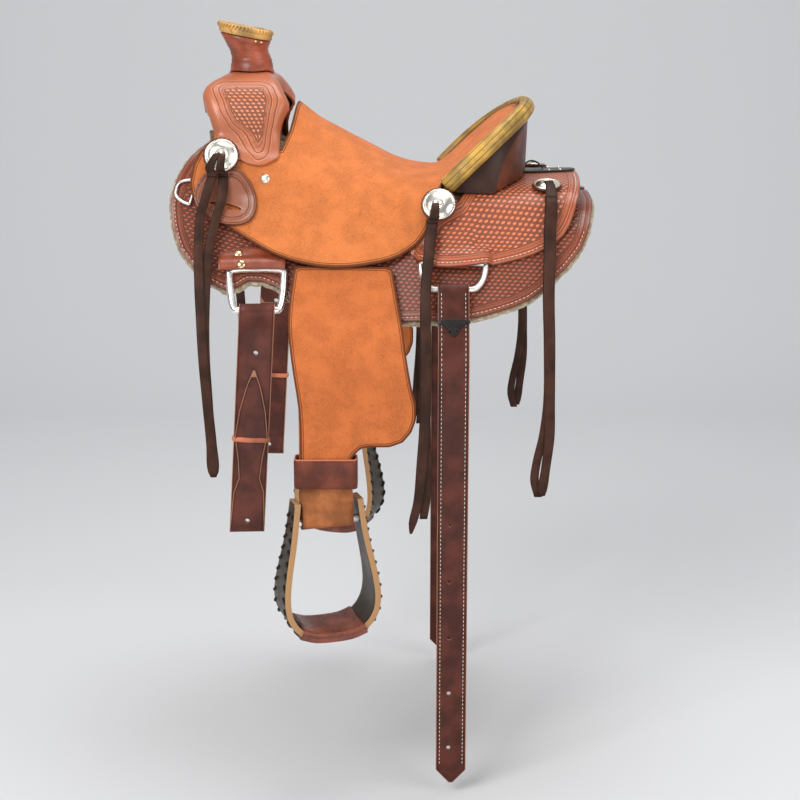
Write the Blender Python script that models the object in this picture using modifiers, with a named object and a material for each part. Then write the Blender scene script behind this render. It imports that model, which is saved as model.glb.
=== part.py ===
"""Wade saddle: tree, leathers, rigging, stirrups and strings, each piece its own object.

Metres, +Z up. The horn points to -X, the cantle to +X, and the near side is -Y.
Leather pieces are flat patterns laid over one form, the saddle's underside. A point of the
form is (x, girth, lift): girth is the distance from the centre line down the side, positive
on the off side, and lift is the height above the form, square to it.
"""
import functools
import math

import bmesh
import bpy
from mathutils import Matrix, Vector

# Layers, from the horse outwards
LINING = 0.009
SKIRT = 0.0045
BAR = 0.018
JOCKEY = 0.0045
SEAT = 0.0045
FENDER = 0.005
LEATHERS = 0.0075
GAP = 0.001
FIT = 0.0003

# The form
STATIONS = (
    # x, ridge height, top slope in degrees, girth at which the side turns down
    (-0.34, 0.122, 36, 0.04),
    (-0.22, 0.092, 32, 0.04),
    (-0.06, 0.036, 18, 0.06),
    (0.06, 0.008, 9, 0.08),
    (0.18, 0.002, 6, 0.09),
    (0.31, 0.004, 5, 0.09),
)
RIDGE_ROUND = 0.05
SIDE_SLOPE = 61
TURN = 0.12
HANG_START = 0.32
HANG_TURN = 0.09
HANG_Y = 0.252
BAR_EDGE = 0.10
BAR_EDGE_REAR = 0.13
BAR_FALL = 0.06
RAISE = 0.0245
FENDER_ROOM = 0.011
GRID_X = 0.055
GRID_GIRTH = (0.04, 0.075, 0.10, 0.13, 0.16, 0.19, 0.225, 0.265, 0.30, 0.34, 0.38, 0.42)

# Cantle, an oval plate leaning back
CANTLE_CENTRE = (0.110, 0.072)
CANTLE_LEAN = math.radians(46)
CANTLE_HALF_WIDTH = 0.166
CANTLE_REACH = 0.128
CANTLE_POWER = 2.2
CANTLE_DISH = 0.6
CANTLE_WOOD = 0.012
CANTLE_END = math.radians(106)
BINDING_FRONT = 0.0075
BINDING_BACK = 0.019
BINDING_IN = 0.015
BINDING_OUT = 0.004
BINDING_STEPS = 26
CANTLE_FACE = 0.0016
CANTLE_BACK = 0.0035

# Fork and horn
FORK_HALF_WIDTH = 0.112
FORK_FOOT = 0.100
FORK_RISE = 0.105
FORK_POWER = 2.6
FORK_WOOD = 0.032
FORK_COVER = 0.0042
HORN_CENTRE = -0.2345
HORN_POST = 0.021
HORN_CAP = 0.0415
HORN_TILT = math.radians(11)

# Hardware
RING_WIRE = 0.0055
RING_HALF_WIDTH = 0.0415
DEE_WIRE = 0.0045
BREAST_WIRE = 0.0025
STRAP = 0.0045
BOLT = 0.006
BOLT_ROOM = 0.0005
BOLT_LENGTH = 0.112
STIRRUP_TURN = math.radians(18)
STIRRUP_DEPTH = 0.076
STIRRUP_PLY = 0.009
TREAD_WRAP = 0.004
LEG_X = -0.112
LEG_WIDTH = 0.080
FOLD_Z = -0.076


def smooth(t):
    t = min(max(t, 0.0), 1.0)
    return t * t * (3 - 2 * t)


def soft_max(a, b, radius):
    return (a + b + math.hypot(a - b, radius)) / 2


def through(knots, t):
    """Value at t of a smooth curve through (t, value) knots, straight beyond its ends."""
    slopes = [(b[1] - a[1]) / (b[0] - a[0]) for a, b in zip(knots, knots[1:])]
    if t <= knots[0][0]:
        return knots[0][1] + slopes[0] * (t - knots[0][0])
    if t >= knots[-1][0]:
        return knots[-1][1] + slopes[-1] * (t - knots[-1][0])
    tangents = [slopes[0]] + [(a + b) / 2 for a, b in zip(slopes, slopes[1:])] + [slopes[-1]]
    i = max(j for j in range(len(knots) - 1) if knots[j][0] <= t)
    (t0, v0), (t1, v1) = knots[i], knots[i + 1]
    h = t1 - t0
    u = (t - t0) / h
    ease = u * u * (3 - 2 * u)
    return (
        v0 + (v1 - v0) * ease
        + h * tangents[i] * (u**3 - 2 * u**2 + u)
        + h * tangents[i + 1] * (u**3 - u**2)
    )


@functools.lru_cache(maxsize=None)
def station(x):
    """Ridge height, top slope and turn girth of the form at x."""
    return tuple(through([(s[0], s[k]) for s in STATIONS], x) for k in (1, 2, 3))


@functools.lru_cache(maxsize=None)
def profile(x, girth):
    """(y, z, slope) of the form at a girth of zero or more."""
    ridge, top, turn = station(x)
    steps = max(2, math.ceil(girth / 0.004))
    step = girth / steps

    def slope(g):
        return math.radians(
            top * smooth(g / RIDGE_ROUND)
            + (SIDE_SLOPE - top) * smooth((g - turn) / TURN)
            + (90 - SIDE_SLOPE) * smooth((g - HANG_START) / HANG_TURN)
        )

    y, z = 0.0, ridge
    for i in range(steps):
        a = slope((i + 0.5) * step)
        y += step * math.cos(a)
        z -= step * math.sin(a)
    y += (HANG_Y - y) * smooth((girth - 0.30) / 0.12)
    return y, z, slope(girth)


def on_form(x, girth, lift):
    y, z, slope = profile(round(x, 6), round(abs(girth), 6))
    y += lift * math.sin(slope)
    z += lift * math.cos(slope)
    return Vector((x, math.copysign(y, girth), z))


def solve(function, target, low, high):
    """Where a rising function reaches the target."""
    for _ in range(40):
        middle = (low + high) / 2
        if function(middle) < target:
            low = middle
        else:
            high = middle
    return (low + high) / 2


def girth_at_height(x, z, lift):
    return solve(lambda g: -on_form(x, g, lift).z, -z, 0.0, 1.1)


def girth_at_reach(x, y, lift):
    return solve(lambda g: on_form(x, g, lift).y, y, 0.0, 0.3)


# Lifts of the layers
SKIRT_UNDER = LINING + GAP
SKIRT_OVER = SKIRT_UNDER + SKIRT
FENDER_UNDER = SKIRT_OVER + GAP + LEATHERS + 2 * GAP


def raised(x, girth):
    """How far the bars lift the leathers over them: all of RAISE near the centre, none below."""
    edge = BAR_EDGE + (BAR_EDGE_REAR - BAR_EDGE) * smooth((x + 0.02) / 0.06)
    return RAISE * (1 - smooth((abs(girth) - edge) / BAR_FALL))


def jockey_under(x, girth):
    chape = 0.0095 * smooth((abs(girth) - 0.15) / 0.04) * (1 - smooth((abs(x - 0.081) - 0.025) / 0.010))
    return SKIRT_OVER + 0.8 * GAP + raised(x, girth) + chape


def seat_under(x, girth):
    room = smooth((x + 0.25) / 0.08) * (1 - smooth((x + 0.05) / 0.06))
    low = 1 - raised(x, girth) / RAISE
    return SKIRT_OVER + 3 * GAP + JOCKEY + raised(x, girth) + FENDER_ROOM * room * low


SEAT_LIFT = ((-0.30, 0.0), (-0.165, 0.036), (-0.127, 0.023), (-0.088, 0.016), (-0.048, 0.007), (0.0, -0.005),
             (0.04, -0.007), (0.08, -0.006))


def cantle_face(x, y):
    """Height of the cantle's front face over a plan point."""
    height = CANTLE_CENTRE[1] + (x + CANTLE_DISH * y * y - CANTLE_CENTRE[0]) / math.tan(CANTLE_LEAN)
    return height - 0.05 * smooth((0.07 - x) / 0.05) - 0.05 * smooth((abs(y) - 0.146) / 0.02)


def seat_point(x, girth, lift, rise):
    """A point of the seat, lift over the form and rise over the cantle's face."""
    p = on_form(x, girth, lift)
    crown = math.exp(-((girth / 0.06) ** 2))
    p.z += through(SEAT_LIFT, min(max(x, -0.30), 0.08)) * crown
    melt = 0.016 - 0.013 * smooth((abs(girth) - 0.09) / 0.05)
    p.z = soft_max(p.z, cantle_face(x, p.y) + rise / math.sin(CANTLE_LEAN), melt)
    return p


def on_cantle(across, up, back):
    """A point of the cantle plate: across it, up it from its centre, and behind its face."""
    x = CANTLE_CENTRE[0] + up * math.sin(CANTLE_LEAN) - CANTLE_DISH * across * across
    z = CANTLE_CENTRE[1] + up * math.cos(CANTLE_LEAN)
    return Vector((x + back * math.cos(CANTLE_LEAN), across, z - back * math.sin(CANTLE_LEAN)))


def oval(angle, width, reach, power):
    s, c = math.sin(angle), math.cos(angle)
    return (
        width * math.copysign(abs(s) ** (2 / power), s),
        reach * math.copysign(abs(c) ** (2 / power), c),
    )


def on_rim(angle, inset):
    return oval(angle, CANTLE_HALF_WIDTH - inset, CANTLE_REACH - inset, CANTLE_POWER)


# Building
def clear_scene():
    for obj in list(bpy.data.objects):
        bpy.data.objects.remove(obj, do_unlink=True)


def collection(name):
    made = bpy.data.collections.new(name)
    bpy.context.scene.collection.children.link(made)
    return made


def material(name, colour, roughness, metallic=0.0):
    mat = bpy.data.materials.new(name)
    mat.use_nodes = True
    shader = mat.node_tree.nodes["Principled BSDF"]
    shader.inputs["Base Color"].default_value = (*colour, 1.0)
    shader.inputs["Roughness"].default_value = roughness
    shader.inputs["Metallic"].default_value = metallic
    return mat


clear_scene()
SADDLE = collection("wade_saddle")
CUTTERS = collection("cutters")
RUSSET = material("tooled_leather", (0.36, 0.085, 0.035), 0.45)
SUEDE = material("roughout_leather", (0.70, 0.24, 0.085), 0.9)
BURGUNDY = material("strap_leather", (0.085, 0.022, 0.016), 0.5)
STRING = material("string_leather", (0.045, 0.018, 0.012), 0.45)
RAWHIDE = material("rawhide", (0.42, 0.30, 0.10), 0.4)
WOOL = material("woolskin", (0.62, 0.52, 0.36), 0.95)
WOOD = material("tree_rawhide", (0.55, 0.42, 0.24), 0.6)
STEEL = material("stainless_steel", (0.72, 0.72, 0.72), 0.2, 1.0)
SILVER = material("silver", (0.75, 0.72, 0.64), 0.3, 1.0)
BRONZE = material("stirrup_leather_dark", (0.055, 0.045, 0.03), 0.45)


def add(name, mesh, mat, target=SADDLE):
    obj = bpy.data.objects.new(name, mesh)
    target.objects.link(obj)
    mesh.materials.clear()
    mesh.materials.append(mat)
    mesh.shade_smooth()
    mesh.set_sharp_from_angle(angle=math.radians(35))
    return obj


def from_bmesh(name, bm, mat, target=SADDLE):
    bmesh.ops.recalc_face_normals(bm, faces=bm.faces)
    mesh = bpy.data.meshes.new(name)
    bm.to_mesh(mesh)
    bm.free()
    return add(name, mesh, mat, target)


def fair(*runs, step=0.016):
    """A closed outline of smooth runs that meet at corners; each run is a list of points."""
    points = []
    for run in runs:
        for i in range(len(run) - 1):
            a = run[max(i - 1, 0)]
            b, c = run[i], run[i + 1]
            d = run[min(i + 2, len(run) - 1)]
            count = max(1, round(math.dist(b, c) / step)) if len(run) > 2 else 1
            for k in range(count):
                t = k / count
                points.append(tuple(
                    0.5 * (2 * b[j] + (c[j] - a[j]) * t
                           + (2 * a[j] - 5 * b[j] + 4 * c[j] - d[j]) * t * t
                           + (3 * b[j] - a[j] - 3 * c[j] + d[j]) * t**3)
                    for j in (0, 1)
                ))
    return points


def mm(*points):
    return [(a / 1000, b / 1000) for a, b in points]


def sheet(name, outline, place, mat, lines_a, lines_b):
    """A flat pattern cut along grid lines, given two faces and laid in space by place(a, b, face)."""
    bm = bmesh.new()
    bm.faces.new([bm.verts.new((a, b, 0)) for a, b in outline])
    for lines, normal in ((lines_a, (1, 0, 0)), (lines_b, (0, 1, 0))):
        for at in lines:
            everything = bm.verts[:] + bm.edges[:] + bm.faces[:]
            bmesh.ops.bisect_plane(bm, geom=everything, dist=1e-6, plane_co=Vector(normal) * at, plane_no=normal)
    bmesh.ops.remove_doubles(bm, verts=bm.verts, dist=0.0004)
    bmesh.ops.triangulate(bm, faces=bm.faces)
    grown = bmesh.ops.extrude_face_region(bm, geom=bm.faces[:])
    for vert in grown["geom"]:
        if isinstance(vert, bmesh.types.BMVert):
            vert.co.z = 1
    for vert in bm.verts:
        vert.co = place(vert.co.x, vert.co.y, round(vert.co.z))
    return from_bmesh(name, bm, mat)


def panel(name, outline, under, over, mat, side=1, lines_g=GRID_GIRTH, more_x=()):
    """A leather laid over the form; under and over give its two lifts."""
    lines_x = [GRID_X * k for k in range(-6, 6)] + list(more_x)

    def place(x, girth, face):
        lift = over(x, girth) if face else under(x, girth)
        return on_form(x, math.copysign(max(abs(girth), 1e-4), side * girth), lift)

    return sheet(name, outline, place, mat, lines_x, lines_g)


def loft(name, rings, mat, closed=False):
    """Quads between rings of points, with end faces unless the rings run round."""
    bm = bmesh.new()
    rows = [[bm.verts.new(p) for p in ring] for ring in rings]
    count = len(rows[0])
    pairs = list(zip(rows, rows[1:])) + ([(rows[-1], rows[0])] if closed else [])
    for low, high in pairs:
        for i in range(count):
            j = (i + 1) % count
            bm.faces.new((low[i], low[j], high[j], high[i]))
    if not closed:
        bm.faces.new(rows[0])
        bm.faces.new(rows[-1])
    return from_bmesh(name, bm, mat)


def ribbon(name, path, thickness, width, mat, frame=None, closed=False):
    """A strap along a path in its own YZ plane; width is a number or a function of the share run."""
    frame = frame or Matrix()
    rings = []
    for i, (y, z) in enumerate(path):
        if closed:
            before, after = path[i - 1], path[(i + 1) % len(path)]
        else:
            before, after = path[max(i - 1, 0)], path[min(i + 1, len(path) - 1)]
        run = Vector((after[0] - before[0], after[1] - before[1])).normalized()
        normal = Vector((0, -run.y, run.x)) * thickness / 2
        half = (width(i / (len(path) - 1)) if callable(width) else width) / 2
        centre = Vector((0, y, z))
        side = Vector((half, 0, 0))
        rings.append([frame @ p for p in (
            centre - side - normal, centre + side - normal, centre + side + normal, centre - side + normal)])
    return loft(name, rings, mat, closed)


def arc(centre, radius, start, end, count):
    """Points of an arc in a plane, angles in degrees."""
    made = []
    for k in range(count + 1):
        a = math.radians(start + (end - start) * k / count)
        made.append((centre[0] + radius * math.cos(a), centre[1] + radius * math.sin(a)))
    return made


def strip(name, stations, under, thickness, mat, side):
    """A narrow strap down the form; a station is (height, x of one edge, x of the other)."""
    rings = []
    for z, x0, x1 in stations:
        ring = []
        for x, rise in ((x0, 0), (x1, 0), (x1, thickness), (x0, thickness)):
            girth = girth_at_height(x, z, under + thickness / 2)
            ring.append(on_form(x, side * girth, under + rise))
        rings.append(ring)
    return loft(name, rings, mat)


def wire(name, points, radius, mat, cyclic=True, resolution=2):
    curve = bpy.data.curves.new(name, "CURVE")
    curve.dimensions = "3D"
    curve.bevel_depth = radius
    curve.bevel_resolution = resolution
    curve.use_fill_caps = True
    spline = curve.splines.new("POLY")
    spline.points.add(len(points) - 1)
    for point, co in zip(spline.points, points):
        point.co = (*co, 1.0)
    spline.use_cyclic_u = cyclic
    obj = bpy.data.objects.new(name, curve)
    SADDLE.objects.link(obj)
    curve.materials.append(mat)
    return obj


def turned(name, outline, mat, frame, steps=24):
    """A closed turned solid; the outline runs from the axis at the top to the axis below."""
    mesh = bpy.data.meshes.new(name)
    mesh.from_pydata([(r, 0, z) for r, z in outline], [(i, i + 1) for i in range(len(outline) - 1)], [])
    obj = add(name, mesh, mat)
    obj.matrix_world = frame
    screw = obj.modifiers.new("turn", "SCREW")
    screw.steps = steps
    screw.render_steps = steps
    screw.use_merge_vertices = True
    screw.merge_threshold = 0.00001
    screw.use_smooth_shade = True
    return obj


def cut(obj, cutter):
    cutter.display_type = "WIRE"
    cutter.hide_render = True
    made = obj.modifiers.new("cut", "BOOLEAN")
    made.operation = "DIFFERENCE"
    made.object = cutter


def cylinder(name, radius, depth, frame, mat=WOOD, target=CUTTERS):
    bm = bmesh.new()
    bmesh.ops.create_cone(bm, cap_ends=True, segments=18, radius1=radius, radius2=radius, depth=depth)
    obj = from_bmesh(name, bm, mat, target)
    obj.matrix_world = frame
    return obj


def surface_frame(x, girth, place):
    """A frame on a leather: Z out of it, X along its length; place gives a point from x and girth."""
    d = 0.004
    along = (place(x + d, girth) - place(x - d, girth)).normalized()
    down = (place(x, girth + d) - place(x, girth - d)).normalized()
    out = along.cross(down).normalized()
    made = Matrix((along, out.cross(along), out)).transposed().to_4x4()
    made.translation = place(x, girth)
    return made


SIDES = (("near", -1), ("off", 1))


# Skirts, linings and jockeys
SKIRT_EDGE = fair(
    mm((299, 14), (300, 69), (296, 122), (283, 181), (264, 214), (233, 248), (195, 279), (150, 295), (105, 304),
       (60, 305), (0, 306), (-91, 311), (-148, 315)),
    mm((-148, 315), (-160, 301), (-172, 289), (-190, 280), (-210, 277), (-230, 281), (-247, 296)),
    mm((-247, 296), (-265, 304), (-290, 296), (-311, 280), (-334, 256), (-347, 219), (-351, 187), (-346, 153),
       (-332, 117), (-311, 82), (-284, 52), (-262, 32)),
    mm((-262, 32), (-150, 20), (299, 14)),
    step=0.022,
)
JOCKEY_EDGE = fair(
    mm((281, 4), (281, 63), (276, 120), (265, 155), (247, 181), (219, 197), (181, 206), (121, 210), (54, 210),
       (25, 206)),
    mm((25, 206), (12, 193), (20, 176), (44, 160), (60, 148)),
    mm((60, 148), (72, 144), (90, 138), (104, 118), (114, 86), (120, 45), (122, 4)),
    mm((122, 4), (281, 4)),
    step=0.022,
)


def skirts():
    for name, side in SIDES:
        panel(f"skirt_lining_{name}", SKIRT_EDGE, lambda x, g: 0.0, lambda x, g: LINING, WOOL, side)
        panel(f"skirt_{name}", SKIRT_EDGE, lambda x, g: SKIRT_UNDER, lambda x, g: SKIRT_OVER, RUSSET, side)
        panel(f"rear_jockey_{name}", JOCKEY_EDGE, jockey_under, lambda x, g: jockey_under(x, g) + JOCKEY, RUSSET, side,
              more_x=(0.020, 0.046, 0.116))


# Tree
BAR_UNDER = SKIRT_OVER + 2 * GAP
FOOT_LIFT = BAR_UNDER + BAR + 2 * GAP
BAR_OUTLINE = fair(
    mm((-296, 62), (-270, 40), (-200, 33), (-60, 32), (100, 30), (215, 34), (246, 62)),
    mm((246, 62), (250, 90), (225, 125), (120, 138), (0, 128), (-120, 112), (-230, 112), (-280, 106), (-296, 62)),
    step=0.03,
)


def bar_over(x, girth):
    low, high = 0.028, 0.12 + 0.02 * smooth(x / 0.06)
    edge = min(abs(girth) - low, high - abs(girth))
    return BAR_UNDER + 0.007 + (BAR - 0.007) * smooth(edge / 0.03)


def tree():
    for name, side in SIDES:
        panel(f"tree_bar_{name}", BAR_OUTLINE, lambda x, g: BAR_UNDER, bar_over, WOOD, side)
    inset = FORK_COVER + GAP
    rings = []
    for degrees in (-90, -84, -72, -58, -44, -30, -20, -10, 0, 10, 20, 30, 44, 58, 72, 84, 90):
        angle = math.radians(degrees)
        level = FORK_FOOT + oval(angle, FORK_HALF_WIDTH, FORK_RISE, FORK_POWER)[1]
        front, rear = fork_front(level) + inset + 6 * GAP, fork_rear(level) - inset - 4 * GAP
        outer = oval(angle, FORK_HALF_WIDTH - inset, FORK_RISE - inset, FORK_POWER)
        inner = oval(angle, FORK_HALF_WIDTH - inset - FORK_WOOD, FORK_RISE - inset - FORK_WOOD, FORK_POWER)
        outer = Vector((0, outer[0], FORK_FOOT + outer[1]))
        inner = Vector((0, inner[0], FORK_FOOT + inner[1]))
        ring = []
        for along, share in ((0.0, 0.0), (0.0, 0.6), (0.14, 1.0), (0.86, 1.0), (1.0, 0.6), (1.0, 0.0)):
            p = inner.lerp(outer, share)
            p.x = front + (rear - front) * along
            foot = on_form(p.x, girth_at_reach(p.x, abs(p.y), FOOT_LIFT), FOOT_LIFT).z
            p.z = foot if abs(degrees) == 90 else max(p.z, foot + 0.001)
            ring.append(p)
        rings.append(ring)
    loft("tree_fork", rings, WOOD)
    inset = BINDING_IN + 0.0011
    foot = [cantle_foot(across, CANTLE_WOOD + CANTLE_FACE, lambda x, g: FOOT_LIFT)
            for across in (0.125, 0.09, 0.045, 0, -0.045, -0.09, -0.125)]
    plate = fair(
        [on_rim(math.radians(a), inset) for a in range(-96, 97, 8)],
        [on_rim(math.radians(96), inset)] + foot + [on_rim(math.radians(-96), inset)],
    )
    sheet("tree_cantle", plate, lambda a, b, face: on_cantle(a, b, CANTLE_FACE + CANTLE_WOOD * face), WOOD,
          [0.04 * k for k in range(-4, 5)], [])



def cantle_foot(across, back, top):
    """Where a plate behind the cantle's face comes down on a leather's top."""

    def clear(up):
        p = on_cantle(across, up, back)
        girth = girth_at_reach(p.x, abs(across), top(p.x, 0.1))
        return p.z - GAP - on_form(p.x, girth, top(p.x, girth)).z

    return across, solve(clear, 0, -0.11, 0.06)


def fork_front(z):
    return through(((0.06, -0.268), (0.107, -0.284), (0.143, -0.294), (0.165, -0.3005), (0.180, -0.3050),
                    (0.190, -0.302), (0.197, -0.292), (0.205, -0.273)), z)


def fork_rear(z):
    return through(((0.06, -0.186), (0.12, -0.184), (0.14, -0.1795), (0.150, -0.176), (0.166, -0.1715),
                    (0.175, -0.1745), (0.19, -0.182), (0.199, -0.188), (0.205, -0.196)), z)


# Fork cover: it wraps over the front and back of the fork, and its side lobes lie on the seat
WRAP_RADIUS = 0.016
COVER_FRONT = 0.030
CROWN_FLAT = 0.0225
COVER_REAR = 0.014
COVER_FLAT = 0.095
COVER_LENGTH = WRAP_RADIUS * math.pi + COVER_FLAT
LOBE_START = 0.160
ARCH = [math.radians(a) for a in range(0, 97, 4)]


def arch_point(girth):
    """Point and outward direction of the fork's arch at a distance from its crown."""
    run, last = 0.0, None
    for k, angle in enumerate(ARCH):
        y, z = oval(angle, FORK_HALF_WIDTH, FORK_RISE, FORK_POWER)
        here = Vector((0, y, z + FORK_FOOT))
        if last is not None:
            step = (here - last).length
            if run + step >= girth or k == len(ARCH) - 1:
                run_out = (here - last).normalized()
                at = last + run_out * (girth - run)
                return at, Vector((0, -run_out.z, run_out.y))
            run += step
        last = here
    return last, Vector((0, 1, 0))


def cover_section(a, front, rear):
    """(x, rise) of the cover's section at a, measured from the fork's front edge."""
    quarter = WRAP_RADIUS * math.pi / 2
    flat = rear - front - 2 * WRAP_RADIUS
    if a < 0:
        return front, -WRAP_RADIUS + a, 180
    if a < quarter:
        turn = a / WRAP_RADIUS
        return front + WRAP_RADIUS * (1 - math.cos(turn)), -WRAP_RADIUS * (1 - math.sin(turn)), 180 - math.degrees(turn)
    a -= quarter
    share = a / COVER_FLAT
    if share < 1:
        return front + WRAP_RADIUS + flat * share, 0.0, 90
    turn = min((a - COVER_FLAT) / WRAP_RADIUS, math.pi / 2)
    down = max(a - COVER_FLAT - quarter, 0)
    return rear - WRAP_RADIUS * (1 - math.sin(turn)), -WRAP_RADIUS * (1 - math.cos(turn)) - down, 90 - math.degrees(turn)



def fork_cover():
    quarter = WRAP_RADIUS * math.pi / 2

    def place(a, girth, face):
        at, out = arch_point(abs(girth))
        front, rear = fork_front(at.z), fork_rear(at.z)
        x, rise, degrees = cover_section(a, front, rear)
        lean = math.radians(degrees)
        thick = FORK_COVER * (face - 1)
        p = at + out * (rise + thick * math.sin(lean))
        p.x = x + thick * math.cos(lean)
        low = smooth((abs(girth) - LOBE_START) / 0.014)
        if low > 0:
            g = 0.083 + abs(girth) - LOBE_START
            lift = seat_under(p.x, g) + SEAT + 2.5 * GAP + FORK_COVER * face
            p = p.lerp(on_form(p.x, g, lift), low)
        p.y = math.copysign(p.y, girth)
        return p

    def edge(side):
        return [(a, side * g) for a, g in (
            (-COVER_FRONT, 0.152), (0.0, 0.158), (quarter, 0.176), (0.045, 0.185), (0.065, 0.190), (0.085, 0.191),
            (0.103, 0.189), (COVER_LENGTH - quarter, 0.184), (COVER_LENGTH - 0.010, 0.170),
            (COVER_LENGTH + COVER_REAR, 0.156))]

    outline = fair(edge(1), [edge(1)[-1], edge(-1)[-1]], edge(-1)[::-1], [edge(-1)[0], edge(1)[0]], step=0.016)
    bends = [0.0, quarter / 2, quarter, 0.05, 0.075, 0.1, COVER_LENGTH - quarter, COVER_LENGTH - quarter / 2, COVER_LENGTH]
    arch = [s * g for g in (0.03, 0.06, 0.085, 0.105, 0.125, 0.15, 0.16, 0.167, 0.174, 0.182) for s in (-1, 1)] + [0.0]
    cover = sheet("fork_cover", outline, place, RUSSET, bends, arch)
    cut(cover, cylinder("horn_hole", HORN_POST + 0.002, 0.12, Matrix.Translation((HORN_CENTRE, 0, 0.21))))


# Horn
def horn_ring(z, radius, tilt, saddle=0.0, sides=18):
    """A ring round the horn; saddle bends it down to the fork's round top."""
    forward = 0.009 * smooth((z - 0.22) / 0.035)
    ring = []
    for k in range(sides):
        a = 2 * math.pi * k / sides
        x, y = radius * math.cos(a), radius * math.sin(a)
        fall = FORK_RISE * (1 - (1 - (abs(y) / FORK_HALF_WIDTH) ** FORK_POWER) ** (1 / FORK_POWER))
        over = min(max(abs(x) - CROWN_FLAT, 0), WRAP_RADIUS)
        fall += WRAP_RADIUS - math.sqrt(WRAP_RADIUS**2 - over**2)
        ring.append((HORN_CENTRE - forward + x * math.cos(tilt), y, z - x * math.sin(tilt) - saddle * fall))
    return ring


def horn():
    top = FORK_FOOT + FORK_RISE
    bore = HORN_POST + 0.0012
    tilt = HORN_TILT
    core = [(top - FORK_COVER - GAP + 0.0005, HORN_POST, 0), (0.228, HORN_POST, 0), (0.242, HORN_POST, tilt / 2),
            (0.2570, HORN_POST, tilt), (0.2598, 0.0365, tilt), (0.264, 0.0365, tilt)]
    loft("horn_core", [horn_ring(*r) for r in core], WOOD)
    wrap = [(top + 0.0032, 0.0352, 0, 1.0), (top + 0.006, 0.0345, 0, 0.8), (0.219, 0.0315, 0), (0.230, 0.0302, 0),
            (0.240, 0.0318, tilt / 2), (0.249, 0.0362, tilt), (0.2575, 0.0405, tilt), (0.2560, bore + 0.0005, tilt),
            (0.242, bore, tilt / 2), (0.228, bore, 0), (top + 0.0010, bore, 0, 1.0)]
    loft("horn_wrap", [horn_ring(*r) for r in wrap], RUSSET, closed=True)
    lip = HORN_CAP + 0.001
    cap = [(0.2648, 0.020), (0.2648, 0.0372), (0.2593, 0.0378), (0.2590, 0.0405), (0.263, lip), (0.269, lip),
           (0.2725, 0.0395), (0.2733, 0.036), (0.2733, 0.020)]
    loft("horn_cap", [horn_ring(*r, tilt) for r in cap], RAWHIDE)


# Seat
def seat_outline():
    side = mm((-160, 0), (-164, 25), (-172, 60), (-183, 86), (-205, 94), (-262, 94), (-284, 97), (-303, 106),
              (-315, 125), (-321, 146), (-319, 166), (-308, 181), (-282, 196), (-256, 208), (-228, 221),
              (-197, 234), (-167, 240), (-121, 240), (-76, 233), (-30, 220), (0, 206), (23, 190), (43, 170))
    rim = []
    inset = BINDING_IN + FIT + (GAP + SEAT) / math.tan(CANTLE_LEAN)
    for degrees in range(81, -1, -9):
        more = 0.020 * smooth((degrees - 35) / 45)
        across, up = on_rim(math.radians(max(degrees, 0)), inset + more)
        at = on_cantle(across, up, 0)
        rim.append((at.x, girth_at_reach(at.x, max(at.y, 0.0), 0.046)))
    rim[-1] = (rim[-1][0], 0.0)
    off = side + [(0.048, 0.152), (0.064, 0.126), (0.080, 0.112)]
    near = [(x, -g) for x, g in off]
    return fair(off, [off[-1], rim[0]], rim, [(x, -g) for x, g in rim[::-1]],
                [(rim[0][0], -rim[0][1]), near[-1]], near[::-1], step=0.02)


def seat():
    lines_x = [GRID_X * k for k in range(-6, 6)] + [-0.15, 0.02, 0.046, 0.08, 0.14, 0.172]
    lines_g = sorted({s * g for g in GRID_GIRTH[:8] for s in (-1, 1)} | {0.0})

    def leather(x, g, face):
        lift = seat_under(x, g) + SEAT * face
        return seat_point(x, g, lift, GAP + SEAT * face)

    sheet("seat_leather", seat_outline(), leather, SUEDE, lines_x, lines_g)

    def ground(x, g, face):
        if not face:
            return on_form(x, g, FOOT_LIFT - 0.6 * GAP)
        lift = seat_under(x, g) - 5 * GAP
        p = on_form(x, g, lift)
        p.z += through(SEAT_LIFT, x) * math.exp(-((g / 0.06) ** 2))
        return p

    off = mm((-158, 0), (-165, 30), (-170, 60), (-160, 92), (-100, 100), (0, 108), (40, 116), (62, 110), (70, 60), (72, 0))
    near = [(x, -g) for x, g in off]
    sheet("ground_seat", fair(off, near[::-1], step=0.03), ground, WOOD, lines_x, lines_g)


def cantle_trim():
    rings = []
    for k in range(BINDING_STEPS + 1):
        angle = CANTLE_END * (2 * k / BINDING_STEPS - 1)
        ring = []
        for corner in range(8):
            a = math.radians(45 * corner)
            inset = (BINDING_IN - BINDING_OUT) / 2 + (BINDING_IN + BINDING_OUT) / 2 * math.cos(a)
            back = (BINDING_BACK - BINDING_FRONT) / 2 - (BINDING_BACK + BINDING_FRONT) / 2 * math.sin(a)
            across, up = on_rim(angle, inset)
            ring.append(on_cantle(across, up, back))
        rings.append(ring)
    loft("cantle_binding", rings, RAWHIDE)
    inner = CANTLE_FACE + CANTLE_WOOD + GAP
    inset = BINDING_IN + 0.0011
    foot = [cantle_foot(across, inner + CANTLE_BACK, lambda x, g: jockey_under(x, g) + JOCKEY)
            for across in (0.142, 0.12, 0.08, 0.04, 0, -0.04, -0.08, -0.12, -0.142)]
    back = fair(
        [on_rim(math.radians(a), inset) for a in range(-104, 105, 8)],
        [on_rim(math.radians(104), inset)] + foot + [on_rim(math.radians(-104), inset)],
    )
    sheet("cantle_back", back, lambda a, b, face: on_cantle(a, b, inner + CANTLE_BACK * face), RUSSET,
          [0.04 * k for k in range(-4, 5)], [])


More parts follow.
